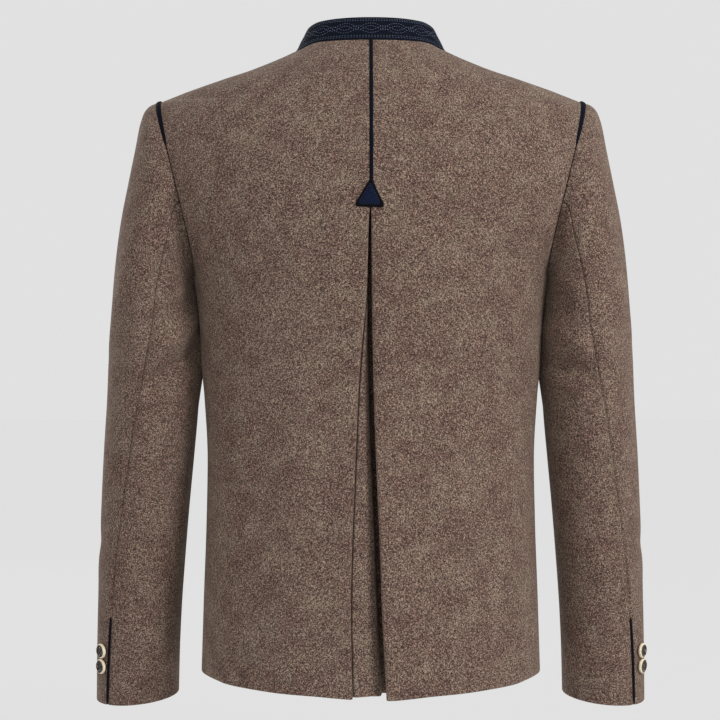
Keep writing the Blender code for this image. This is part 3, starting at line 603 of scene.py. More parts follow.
@dataclass(frozen=True)
class SleeveForm:
    """Outer surface of a sleeve: leaning ovals from the armhole to the cuff."""

    seam: float = 0.0001
    bow: float = 0.009
    bow_fade: Row = (1.0, 0.8, 0.6, 0.4, 0.2, 0.0)
    front_seam: float = 234.0
    cuff_drop: float = 0.0045
    cuff_drop_from: float = 14.0

    def point(self, ring: Array, angle: Array) -> Array:
        """Points of the sleeve.

        Each ring is an oval between its outer and inner points, bowed in where it meets the armhole. The
        cuff hangs lower behind, by the square of the way down its last two rings.

        Args:
            ring: Rings, 0 at the armhole and 16 at the cuff.
            angle: Angles, 0 outside and a quarter turn behind.

        Returns:
            The surface's points, for the left sleeve.
        """
        low, behind = (1 - np.cos(angle)) / 2, np.sin(angle)
        fade = np.interp(ring, range(len(self.bow_fade)), self.bow_fade)
        outer, high, inner, deep, forward, half_depth = (
            SLEEVE_RINGS.track(name)(ring) for name in SLEEVE_RINGS.columns[:6]
        )
        last = len(SLEEVE_RINGS.rows) - 1
        near_cuff = np.maximum(0.0, ring - self.cuff_drop_from) / (last - self.cuff_drop_from)
        return stack(
            outer + (inner - outer) * low + self.seam - self.bow * fade * np.abs(behind) * low,
            half_depth * behind - forward,
            high + (deep - high) * low - self.cuff_drop * near_cuff ** 2 * np.maximum(0.0, behind),
        )

    def back_seam(self, ring: Array) -> Array:
        """Angle of the back seam at each ring."""
        return np.radians(SLEEVE_RINGS.track("back_seam")(ring))

    def frame_at(self, ring: float, angle: float) -> tuple[Array, Array, Array]:
        """Point, outward normal and sideways direction, from small steps along ring and angle."""
        small = np.array((-0.02, 0.02))
        along = np.diff(self.point(ring + small, np.full(2, angle)), axis=0)[0]
        aside = unit(np.diff(self.point(np.full(2, ring), angle + small), axis=0)[0])
        normal = unit(np.cross(along, aside))
        point = self.point(np.array(ring), np.array(angle))
        middle = self.point(np.full(2, ring), np.array((0.0, np.pi))).mean(axis=0)
        return point, normal * np.sign(normal @ (point - middle)), aside


@dataclass(frozen=True)
class Crease:
    """Soft fold along a bent line on a chart in metres, with a steeper and a slower flank.

    Its height is the depth times a bell across the line, less a share of a wider bell on the slow
    flank, and it fades out towards both ends.
    """

    start: tuple[float, float]
    end: tuple[float, float]
    depth: float
    width: float
    bow: float = 0.0
    slow: float = 0.5

    def height(self, across: Array, along: Array) -> Array:
        """Height over the surface at both chart coordinates, in metres, positive outwards."""
        line = np.subtract(self.end, self.start)
        length = float(np.hypot(*line))
        line = line / length
        from_x, from_y = across - self.start[0], along - self.start[1]
        share = (from_x * line[0] + from_y * line[1]) / length
        off = from_x * line[1] - from_y * line[0] - 4 * self.bow * share * (1 - share)
        fade = np.sin(np.pi * np.clip(share, 0, 1)) ** 0.8
        slow = bell((off - 1.7 * self.width) / (1.5 * self.width))
        return self.depth * fade * (bell(off / self.width) - self.slow * slow)

    def swayed(self, sway: float, stronger: float) -> "Crease":
        """The same fold, tilted by a rise at its start and a drop at its end, so that sides differ."""
        start, end = (self.start[0], self.start[1] + sway), (self.end[0], self.end[1] - sway)
        return replace(self, start=start, end=end, depth=self.depth * stronger)


def creased(points: Array, outside: Array, creases: Sequence[Crease], chart: tuple[Array, Array],
            calm: Array) -> Array:
    """Points pushed out by the creases' heights, times a share that calms the seams."""
    total = sum((crease.height(*chart) for crease in creases), np.zeros(points.shape[:2]))
    return pushed(points, outside, total * calm)


# Finishes


def linear(code: str) -> tuple[float, float, float, float]:
    """Linear colour of an sRGB hex code."""
    values = np.array([int(code[k:k + 2], 16) for k in (1, 3, 5)]) / 255
    low, high = values / 12.92, ((values + 0.055) / 1.055) ** 2.4
    return (*np.where(values <= 0.04045, low, high).tolist(), 1.0)


def per_metre(size_mm: float) -> float:
    """Pattern scale in cells per metre for cells of a size in millimetres."""
    return 1000 / size_mm


class Recipe:
    """A material in the making, with its node tree and its shader."""

    def __init__(self, name: str, values: dict[str, Any]) -> None:
        """Start the material, with constant values on the shader's own sockets."""
        self.material = bpy.data.materials.new(name)
        self.material.use_nodes = True
        self.tree = self.material.node_tree
        self.shader = self.tree.nodes["Principled BSDF"]
        for socket, value in values.items():
            self.shader.inputs[socket].default_value = value

    def add(self, kind: str, links: dict[Any, Any], stops: Sequence[tuple[float, str]] = (),
            **settings: Any) -> bpy.types.Node:
        """Node with its settings and links.

        Args:
            kind: The node's type.
            links: Input names or numbers, each with a socket to link or a value to set.
            stops: Places and sRGB hex colours of a colour ramp, in order.
            settings: Attributes of the node.

        Returns:
            The new node.
        """
        node = self.tree.nodes.new(kind)
        for name, value in settings.items():
            setattr(node, name, value)
        for name, value in links.items():
            if isinstance(value, bpy.types.NodeSocket):
                self.tree.links.new(value, node.inputs[name])
            else:
                node.inputs[name].default_value = value
        for number, (place, code) in enumerate(stops):
            ramp = node.color_ramp.elements
            stop = ramp[number] if number < 2 else ramp.new(place)
            stop.position, stop.color = place, linear(code)
        return node

    def finished(self, colour: bpy.types.NodeSocket, height: bpy.types.NodeSocket, relief_mm: float,
                 strength: float) -> Material:
        """The material, with its colour and a relief from heights linked to the shader."""
        links = {"Height": height, "Distance": relief_mm / 1000, "Strength": strength}
        bump = self.add("ShaderNodeBump", links)
        self.tree.links.new(colour, self.shader.inputs["Base Color"])
        self.tree.links.new(bump.outputs["Normal"], self.shader.inputs["Normal"])
        return self.material


@dataclass(frozen=True)
class HeatherTweed:
    """Milled wool tweed from heather yarn: dark, taupe and beige fibres spun together.

    To the eye it is matt and grainy, with pale and dark flecks, a faint diagonal rib, and a short nap
    that lightens it at grazing angles. A real fibre is finer than a pixel, so the flecks are drawn
    1.4 mm across and the fibres 0.7 mm.
    """

    name: str = "heather_wool_tweed"
    deep: str = "#271d19"
    brown: str = "#4b3a33"
    taupe: str = "#6a5850"
    beige: str = "#9e897a"
    fleck_mm: float = 1.4
    fibre_mm: float = 0.7
    mottle_mm: float = 24.0
    rib_mm: float = 2.4
    relief_mm: float = 0.45
    warm_dye: str = "#fff6f3"
    cool_dye: str = "#f8f9f4"
    offset: float = 0.40

    def build(self) -> Material:
        """Colour from flecks, fibres and mottling on Object coordinates, with ribs on the cut.

        Returns:
            The material.
        """
        recipe = Recipe(self.name, {
            "Roughness": 0.92, "Sheen Weight": 0.17, "Sheen Roughness": 0.55,
            "Sheen Tint": linear("#c8b8a6"), "Specular IOR Level": 0.25,
        })
        place = recipe.add("ShaderNodeTexCoord", {}).outputs
        flecks, fibres, mottling = (
            recipe.add("ShaderNodeTexNoise", {
                "Vector": place["Object"], "Scale": per_metre(size), "Detail": detail, "Roughness": 0.6,
            }).outputs["Fac"]
            for size, detail in ((self.fleck_mm, 1.0), (self.fibre_mm, 1.0), (self.mottle_mm, 2.0))
        )
        ribs = recipe.add("ShaderNodeTexWave", {
            "Vector": place["UV"], "Scale": per_metre(self.rib_mm) / (2 * math.pi) * math.sqrt(2),
            "Distortion": 2.5, "Detail": 1.0, "Detail Scale": 1.5,
        }, bands_direction="DIAGONAL").outputs["Fac"]
        sums = [flecks]
        for value, share, onto in ((fibres, 0.55, 0), (mottling, 0.22, 1), (ribs, 0.03, 2), (ribs, 0.3, 1)):
            links = {0: value, 1: share, 2: sums[onto]}
            sums.append(recipe.add("ShaderNodeMath", links, operation="MULTIPLY_ADD").outputs[0])
        shade = recipe.add("ShaderNodeMath", {0: sums[3], 1: self.offset}, operation="SUBTRACT").outputs[0]
        yarn = recipe.add("ShaderNodeValToRGB", {"Fac": shade}, (
            (0.30, self.deep), (0.43, self.brown), (0.56, self.taupe), (0.74, self.beige),
        )).outputs["Color"]
        dye = recipe.add("ShaderNodeValToRGB", {"Fac": mottling}, (
            (0.38, self.warm_dye), (0.62, self.cool_dye),
        )).outputs["Color"]
        links = {"Factor": 1.0, 6: yarn, 7: dye}
        dyed = recipe.add("ShaderNodeMix", links, data_type="RGBA", blend_type="MULTIPLY").outputs[2]
        return recipe.finished(dyed, sums[4], self.relief_mm, 0.8)


@dataclass(frozen=True)
class NavyWool:
    """Dark navy wool cloth, closely woven and pressed, with a low nap.

    To the eye it is almost black blue and matt, with a fine grain and a soft bluish bloom at the
    edges. The real weave is finer than a pixel, so its grain is drawn 0.9 mm across.
    """

    name: str
    dark: str = "#04060c"
    light: str = "#0f1420"
    grain_mm: float = 0.9
    relief_mm: float = 0.2

    def build(self) -> Material:
        """Colour and relief from one fine noise on Object coordinates.

        Returns:
            The material.
        """
        recipe = Recipe(self.name, {
            "Roughness": 0.85, "Sheen Weight": 0.03, "Sheen Roughness": 0.5,
            "Sheen Tint": linear("#5a6a90"), "Specular IOR Level": 0.08,
        })
        place = recipe.add("ShaderNodeTexCoord", {}).outputs
        grain = recipe.add("ShaderNodeTexNoise", {
            "Vector": place["Object"], "Scale": per_metre(self.grain_mm), "Detail": 2.0, "Roughness": 0.6,
        }).outputs["Fac"]
        stops = ((0.36, self.dark), (0.66, self.light))
        colour = recipe.add("ShaderNodeValToRGB", {"Fac": grain}, stops).outputs["Color"]
        return recipe.finished(colour, grain, self.relief_mm, 0.8)


@dataclass(frozen=True)
class SewingThread:
    """Twisted polyester-covered thread: to the eye small smooth dashes with a slight sheen."""

    name: str
    colour: str
    shade: str
    roughness: float = 0.55
    twist_mm: float = 0.5

    def build(self) -> Material:
        """Two shades and a relief from bands as wide as the thread's twist, on Object coordinates.

        Returns:
            The material.
        """
        recipe = Recipe(self.name, {"Roughness": self.roughness})
        place = recipe.add("ShaderNodeTexCoord", {}).outputs
        scale = per_metre(self.twist_mm) / (2 * math.pi)
        links = {"Vector": place["Object"], "Scale": scale, "Distortion": 1.5}
        twist = recipe.add("ShaderNodeTexWave", links, bands_direction="DIAGONAL").outputs["Fac"]
        stops = ((0.2, self.shade), (0.7, self.colour))
        colour = recipe.add("ShaderNodeValToRGB", {"Fac": twist}, stops).outputs["Color"]
        return recipe.finished(colour, twist, 0.1, 0.6)


@dataclass(frozen=True)
class StagHorn:
    """Turned slice of stag horn: cream polished bevel, with the horn's dark bark left on the face.

    To the eye the side is warm ivory with a satin gloss, and the face is dark brown with pale worn
    ridges. The first UV coordinate is the way along the turned profile from the face's middle, as a
    share of the radius.
    """

    name: str = "polished_stag_horn"
    ivory: str = "#e6dac3"
    cream: str = "#cdbb9c"
    bark: str = "#120d0a"
    worn: str = "#a3957f"
    ridge_mm: float = 2.2
    relief_mm: float = 0.6
    bark_ends: float = 0.90

    def build(self) -> Material:
        """Bark and bevel mixed along the profile, with a wandering border.

        Returns:
            The material.
        """
        values = {"Roughness": 0.42, "IOR": 1.54, "Specular IOR Level": 0.22, "Coat Weight": 0.04}
        recipe = Recipe(self.name, values)
        place = recipe.add("ShaderNodeTexCoord", {}).outputs
        ridges = recipe.add("ShaderNodeTexNoise", {
            "Vector": place["Object"], "Scale": per_metre(self.ridge_mm), "Detail": 2.0, "Roughness": 0.55,
        }).outputs["Fac"]
        profile = recipe.add("ShaderNodeSeparateXYZ", {0: place["UV"]}).outputs["X"]
        wandering = recipe.add("ShaderNodeMath", {0: ridges, 1: 0.2, 2: profile}, operation="MULTIPLY_ADD")
        border = recipe.add("ShaderNodeMapRange", {
            "Value": wandering.outputs[0],
            "From Min": self.bark_ends + 0.08, "From Max": self.bark_ends + 0.13,
        }).outputs["Result"]
        face, bevel = (
            recipe.add("ShaderNodeValToRGB", {"Fac": ridges}, stops).outputs["Color"]
            for stops in (((0.56, self.bark), (0.70, self.worn)), ((0.35, self.cream), (0.6, self.ivory)))
        )
        mixed = recipe.add("ShaderNodeMix", {"Factor": border, 6: face, 7: bevel}, data_type="RGBA")
        return recipe.finished(mixed.outputs[2], ridges, self.relief_mm, 0.6)


class Finishes:
    """Every material of the coat, made once."""

    def __init__(self) -> None:
        """Make them all."""
        self.tweed = HeatherTweed().build()
        self.collar = NavyWool("navy_collar_wool").build()
        self.piping = NavyWool("navy_piping_wool", "#03050b", "#0b101c").build()
        self.patch = NavyWool("navy_patch_wool", "#070c1a", "#141f3a").build()
        self.border = NavyWool("navy_border_wool", "#030407", "#0a0d15").build()
        self.horn = StagHorn().build()
        self.blue_thread = SewingThread("blue_grey_thread", "#65738d", "#4b5870").build()
        self.navy_thread = SewingThread("navy_thread", "#131826", "#0a0d15").build()
        self.brown_thread = SewingThread("brown_thread", "#443429", "#2b2019").build()


# Small shaped parts


@dataclass(frozen=True)
class Stitches:
    """Short rounded stitches, each a slim six-sided spindle laid on a surface."""

    length: float = 0.0024
    half_width: float = 0.00028
    height: float = 0.00026

    def build(self, name: str, runs: Sequence[tuple[Array, Array, Array]], finish: Material) -> Piece:
        """All the stitches as one mesh.

        A spindle's rings stand at shares of its length, with widths that follow a half ellipse.

        Args:
            name: The piece's name.
            runs: Rows of stitches, each as its middles, directions and outward normals.
            finish: The thread's material.

        Returns:
            The object of all stitches.
        """
        centres, along, normals = (np.concatenate(column) for column in zip(*runs))
        along = unit(along)
        frames = np.stack([along, unit(np.cross(normals, along)), unit(normals)], axis=1)
        shares = np.array((-1.0, -0.7, 0.0, 0.7, 1.0))
        girth = np.sqrt(np.maximum(1 - shares ** 2, 0.04))
        turns = full_turn(6)
        rings = stack(
            (shares * self.length / 2)[:, None],
            girth[:, None] * self.half_width * np.cos(turns),
            girth[:, None] * self.height * np.sin(turns),
        ).reshape(-1, 3)
        points = centres[:, None] + np.einsum("mk,nkc->nmc", rings, frames)
        loops = numbered(len(shares), len(turns))
        caps = np.array([[0, 1, 2, 3], [0, 3, 4, 5]])
        shape = np.concatenate([ring_faces(loops)[:, ::-1], caps[:, ::-1], caps + loops[-1, 0]])
        faces = (shape[None] + (np.arange(len(centres)) * len(rings))[:, None, None]).reshape(-1, 4)
        points = points.reshape(-1, 3)
        return mesh_object(name, points, faces, np.zeros((len(points), 2)), finish)


@dataclass(frozen=True)
class HornButton:
    """Turned horn button with a wide bevel and a shallow dish, sewn on through two holes.

    The profile gives shares of the radius and the height, from the middle of the face to that of the
    underside. The seed turn moves the waves, so that no two buttons are alike.
    """

    name: str
    radius: float
    height: float
    seed_turn: float
    profile: tuple[Row, ...] = (
        (0.0, 0.74), (0.30, 0.76), (0.62, 0.86), (0.80, 0.99), (0.88, 1.00), (0.96, 0.86),
        (1.00, 0.62), (0.97, 0.30), (0.86, 0.10), (0.62, 0.00), (0.0, 0.0),
    )
    sides: int = 40
    steps: int = 44
    seat: float = 0.00035

    def disc(self, centre: Array, normal: Array, finish: Material) -> Piece:
        """Revolve the profile round the normal, a little uneven as horn is.

        The radius is scaled by one plus small waves of the turn, and the face rises by a few tenths
        of a millimetre in slow waves across it.

        Args:
            centre: The button's seat on the cloth.
            normal: Outward direction.
            finish: The horn.

        Returns:
            The button's object.
        """
        table = np.array(self.profile)
        walk = along_rows(table[None])[0]
        at = np.linspace(0, walk[-1], self.steps)
        radii, heights = (np.interp(at, walk, column)[:, None] for column in table.T)
        turns, seed = full_turn(self.sides), self.seed_turn
        side = unit(np.cross(normal, UP))
        up = np.cross(side, normal)
        wave = 1 + 0.018 * np.sin(2 * turns + seed) + 0.012 * np.sin(5 * turns + 2 * seed)
        across = radii * wave * self.radius
        relief = 0.03 * np.sin(3 * turns + 5 * radii + seed) * radii
        rise = self.seat + self.height * (heights * (1 + relief * (heights > 0.7)))
        rings = (
            centre
            + side * (across * np.cos(turns))[..., None]
            + up * (across * np.sin(turns))[..., None]
            + normal * rise[..., None]
        )
        uv = stack(at[:, None], turns / (2 * np.pi), 0.0)[..., :2]
        return shell_object(self.name, rings, uv, finish)

    def thread(self, centre: Array, normal: Array, finish: Material) -> Piece:
        """Two double bars of thread across the dish, each bar a little askew."""
        side = unit(np.cross(normal, UP))
        shifts, tilts = np.array((-0.12, 0.12, -0.05, 0.05)), np.array((0.15, -0.15, -0.1, 0.1))
        centres = centre + normal * (self.seat + self.height * 0.78) + side * (shifts * self.radius)[:, None]
        directions = np.cross(side, normal) + side * tilts[:, None]
        bars = Stitches(self.radius * 0.5, 0.00045, 0.0004)
        run = (centres, directions, np.tile(normal, (len(shifts), 1)))
        return bars.build(self.name + "_thread", [run], finish)

    def sew_on(self, centre: Array, normal: Array, finishes: Finishes, node: str) -> None:
        """Build and dress the button and its thread."""
        dress(self.disc(centre, normal, finishes.horn), [node])
        dress(self.thread(centre, normal, finishes.brown_thread))


# The coat's sub-assemblies


@dataclass
class Body:
    """Two backs with their inverted pleat, the underlay behind it, and two lapped fronts."""

    form: BodyForm
    finishes: Finishes
    half_seam: float = 0.000175
    fold_radius: float = 0.0030
    seam_radius: float = 0.0019
    pleat_top: float = 1.40
    pleat_fade: float = 0.08
    fold_softens: tuple[float, float] = (-0.22, 0.16)
    fold_tightest: float = 0.35
    fold_steps: int = 8
    fold_calm: float = 0.03
    lift_reach: float = 0.045
    lap: float = 0.020
    lap_edge: float = 0.036
    lap_press: float = 0.0026
    lap_calm: float = 0.05
    groove: float = 0.0005
    groove_width: float = 0.0020
    calm_edge: float = 0.022
    calm_end: float = 0.020
    rows: tuple[int, int, int] = (112, 64, 40)
    back_columns: int = 84
    front_columns: int = 66
    back_sway: float = 0.011
    front_sway: float = 0.009
    underlay_rise: float = 0.0045
    underlay_top: float = 1.47
    underlay_grid: tuple[int, int] = (150, 121)
    fall: float = 0.013
    even_fall: float = 0.25
    slot_depth: float = 0.027
    slot_at_top: float = 0.12
    slot_closes: float = 0.08
    least_opening: float = 0.0012
    slot_width: float = 0.0036
    slot_flank: float = 0.0016
    underlay_swell: float = 0.0042
    swell_edge: float = 0.0017

    back_creases: tuple[Crease, ...] = (
        Crease((0.165, -0.300), (0.045, -0.235), 0.0016, 0.016, 0.010),
        Crease((0.175, -0.345), (0.070, -0.300), -0.0014, 0.013, 0.006),
        Crease((0.060, -0.330), (0.082, -0.600), 0.0016, 0.020, -0.008),
        Crease((0.120, -0.400), (0.132, -0.690), -0.0018, 0.022, 0.006),
        Crease((0.100, -0.120), (0.150, -0.240), 0.0012, 0.018, 0.010),
        Crease((0.035, -0.070), (0.120, -0.095), 0.0010, 0.012, 0.004),
    )
    front_creases: tuple[Crease, ...] = (
        Crease((0.160, -0.290), (0.050, -0.210), 0.0022, 0.016, 0.012),
        Crease((0.172, -0.335), (0.080, -0.285), -0.0018, 0.014, 0.006),
        Crease((0.060, -0.360), (0.075, -0.640), 0.0018, 0.022, 0.008),
        Crease((0.130, -0.420), (0.118, -0.690), -0.0020, 0.020, 0.006),
        Crease((0.016, -0.150), (0.110, -0.175), 0.0014, 0.012, -0.006),
        Crease((0.020, -0.400), (0.120, -0.375), 0.0010, 0.012, 0.006),
    )

    def stations(self) -> Array:
        """Stations of the rows, from the hem to the neck."""
        parts = [np.linspace(k, k + 1, rows, endpoint=k == 2) for k, rows in enumerate(self.rows)]
        return np.concatenate(parts)[:, None]

    def row_points(self, station: Array, face: Face, starts: Array, columns: int) -> Array:
        """Rows of points: given distances from the centre line, then angle steps, finer at the edge."""
        first = self.form.angle_at(station, face, starts)
        last = first[:, -1:]
        even = np.arange(1, columns + 1)[None] / columns
        shares = even + 0.75 * even * (1 - even)
        angles = np.concatenate([first, last + (self.form.end_angle(station) - last) * shares], axis=1)
        return self.form.point(station, face, angles)

    def seam_calm(self, points: Array, first: int = 0) -> tuple[Array, Array]:
        """Share that keeps creases off the seams, and the groove beside the outer edge.

        Args:
            points: A panel's grid.
            first: Column of the panel's first edge.

        Returns:
            The share from 0 at a seam to 1 about 2 cm inside, and the groove's depth.
        """
        along = along_rows(points[:, first:])
        edge, down = along[:, -1:] - along, down_columns(points[::-1])[::-1][:, first:]
        calm = smooth(edge / self.calm_edge) * smooth(down / self.calm_end)
        groove = self.groove * (bell(edge / self.groove_width) + bell(down / self.groove_width))
        pad = ((0, 0), (first, 0))
        return np.pad(calm, pad), np.pad(groove, pad)

    def pleat(self, name: str, height: Array) -> Array:
        """A column of the pleat's table at heights of the centre back."""
        return PLEAT.track(name, "height")(height)

    def back(self, side: Side) -> Cloth:
        """One back: folded-in cloth, fold and panel, and above the pleat its pressed seam edge.

        The fold is a half circle in front of the panel's first column. It is rounder low down, and its
        radius shrinks to the pressed edge's where the pleat closes.

        Args:
            side: The wearer's side.

        Returns:
            The cloth.
        """
        station = self.stations()
        height, _ = self.form.centre(station, Face.BACK)
        opened = 1 - smooth((station - self.pleat_top) / self.pleat_fade)
        if side is Side.LEFT:
            fold, lift = self.pleat("left_fold", height), 0.0 * height
        else:
            fold, lift = -self.pleat("right_fold", height), self.pleat("right_lift", height)
        width = self.pleat("return_width", height)
        soft = smooth((self.fold_softens[0] - height) / self.fold_softens[1])
        soft = self.fold_tightest + (1 - self.fold_tightest) * soft
        radius = self.seam_radius + (self.fold_radius - self.seam_radius) * opened * soft
        start = (fold * opened + self.half_seam * (1 - opened)) + radius
        spread = np.concatenate([np.linspace(0, 0.006, 5), np.linspace(0.009, 0.030, 7)])[None]
        panel = self.row_points(station, Face.BACK, start + spread, self.back_columns)
        panel[..., 1] += lift * bell((panel[..., 0] - start) / self.lift_reach)
        normal = self.form.centre_normal(station, Face.BACK)
        turns = np.linspace(np.pi, 0, self.fold_steps + 1)[None, :-1]
        arc = panel[:, :1] - normal * (radius * (1 - np.cos(turns)))[..., None]
        arc[..., 0] -= radius * np.sin(turns)
        share = np.linspace(1, 0, self.fold_steps + 1)[None, :-1]
        base = self.form.at(station, Face.BACK, start + width * share)
        folded = base - normal * (2 * radius - lift * (1 - share))[..., None]
        whole = np.concatenate([folded, arc, panel], axis=1)
        first = folded.shape[1] + arc.shape[1]
        outside = np.zeros_like(whole)
        outside[:, first:] = BACKWARD
        calm, groove = self.seam_calm(whole, first)
        calm = calm * np.pad(smooth((panel[..., 0] - start) / self.fold_calm), ((0, 0), (first, 0)))
        sway = side.value * self.back_sway
        moved = [crease.swayed(sway, 1 - 8 * sway) for crease in self.back_creases]
        whole = creased(whole, outside, moved, (whole[..., 0], whole[..., 2]), calm)
        whole = pushed(whole, outside, -groove)
        return Cloth("back_" + side.label + "_cloth", placed(whole, side), outside, origin_column=first)

    def front(self, side: Side) -> Cloth:
        """One front, from 2 cm past the centre line to the side; the right one lies under the lap.

        Args:
            side: The wearer's side.

        Returns:
            The cloth.
        """
        station = self.stations()
        starts = np.linspace(-self.lap, self.lap_edge, 17)[None] + 0.0 * station
        starts = np.where(np.abs(starts) < 1e-6, 1e-6, starts)
        panel = self.row_points(station, Face.FRONT, starts, self.front_columns)
        outside = -BACKWARD
        if side is Side.RIGHT:
            press = self.lap_press * smooth((self.lap_edge - panel[..., 0]) / 0.015)
            panel = pushed(panel, outside, -press)
        calm, groove = self.seam_calm(panel)
        calm = calm * smooth((panel[..., 0] + self.lap) / self.lap_calm)
        sway = side.value * self.front_sway
        moved = [crease.swayed(-sway, 1 + 9 * sway) for crease in self.front_creases]
        panel = creased(panel, outside, moved, (panel[..., 0], panel[..., 2]), calm)
        panel = pushed(panel, outside, -groove)
        return Cloth("front_" + side.label + "_cloth", placed(panel, side), outside)

    def underlay(self) -> Cloth:
        """Strip behind the folds.

        It comes up beside the left fold and falls away towards the right one, with the fourth power of
        the way across the opening. A deep slot runs along the right fold, and flattens out towards the
        strip's top, so that nothing shows past the top.

        Returns:
            The cloth.
        """
        rows, columns = self.underlay_grid
        station = np.linspace(self.underlay_rise, self.underlay_top, rows)[:, None]
        height, _ = self.form.centre(station, Face.BACK)
        width = self.pleat("return_width", height) + self.fold_radius
        left_fold, right_fold = self.pleat("left_fold", height), self.pleat("right_fold", height)
        left, right = left_fold + width, right_fold - width
        across = right + (left - right) * np.linspace(0, 1, columns)[None]
        points = self.form.at(station, Face.BACK, np.maximum(np.abs(across), 1e-6))
        points[..., 0] = across
        inside = left_fold - across
        opening = np.maximum(left_fold - right_fold - self.slot_width, self.least_opening)
        into = np.clip(inside / opening, 0, 1)
        slot = smooth((self.slot_width + self.slot_flank - across + right_fold) / self.slot_flank)
        swell = self.underlay_swell * smooth(inside / self.swell_edge) * (1 - slot)
        back_up = (across - right) / (0.8 * width)
        closing = smooth((self.underlay_top - 0.01 - station) / self.slot_closes)
        sag = self.fall * (self.even_fall * into + (1 - self.even_fall) * into ** 4)
        sag = sag + self.slot_depth * slot * (self.slot_at_top + (1 - self.slot_at_top) * closing)
        sag = sag * smooth(back_up)
        depth = 2 * self.fold_radius + 2 * self.half_seam + sag - swell
        points = points - self.form.centre_normal(station, Face.BACK) * depth[..., None]
        return Cloth("pleat_underlay_cloth", points, BACKWARD)

    def build(self) -> None:
        """Build and dress all five pieces."""
        for side in Side:
            for cloth, node in ((self.back(side), "back_"), (self.front(side), "front_")):
                dress_sheet(cloth, self.finishes.tweed, node + side.label)
        dress_sheet(self.underlay(), self.finishes.tweed, "pleat_underlay")


@dataclass(frozen=True)
class SideFit:
    """What differs from sleeve to sleeve, as the photograph shows it."""

    button_angle: float
    tuck: float
    tuck_reach: float


SIDE_FITS = {Side.LEFT: SideFit(39.0, 0.009, 0.019), Side.RIGHT: SideFit(33.0, 0.0045, 0.010)}


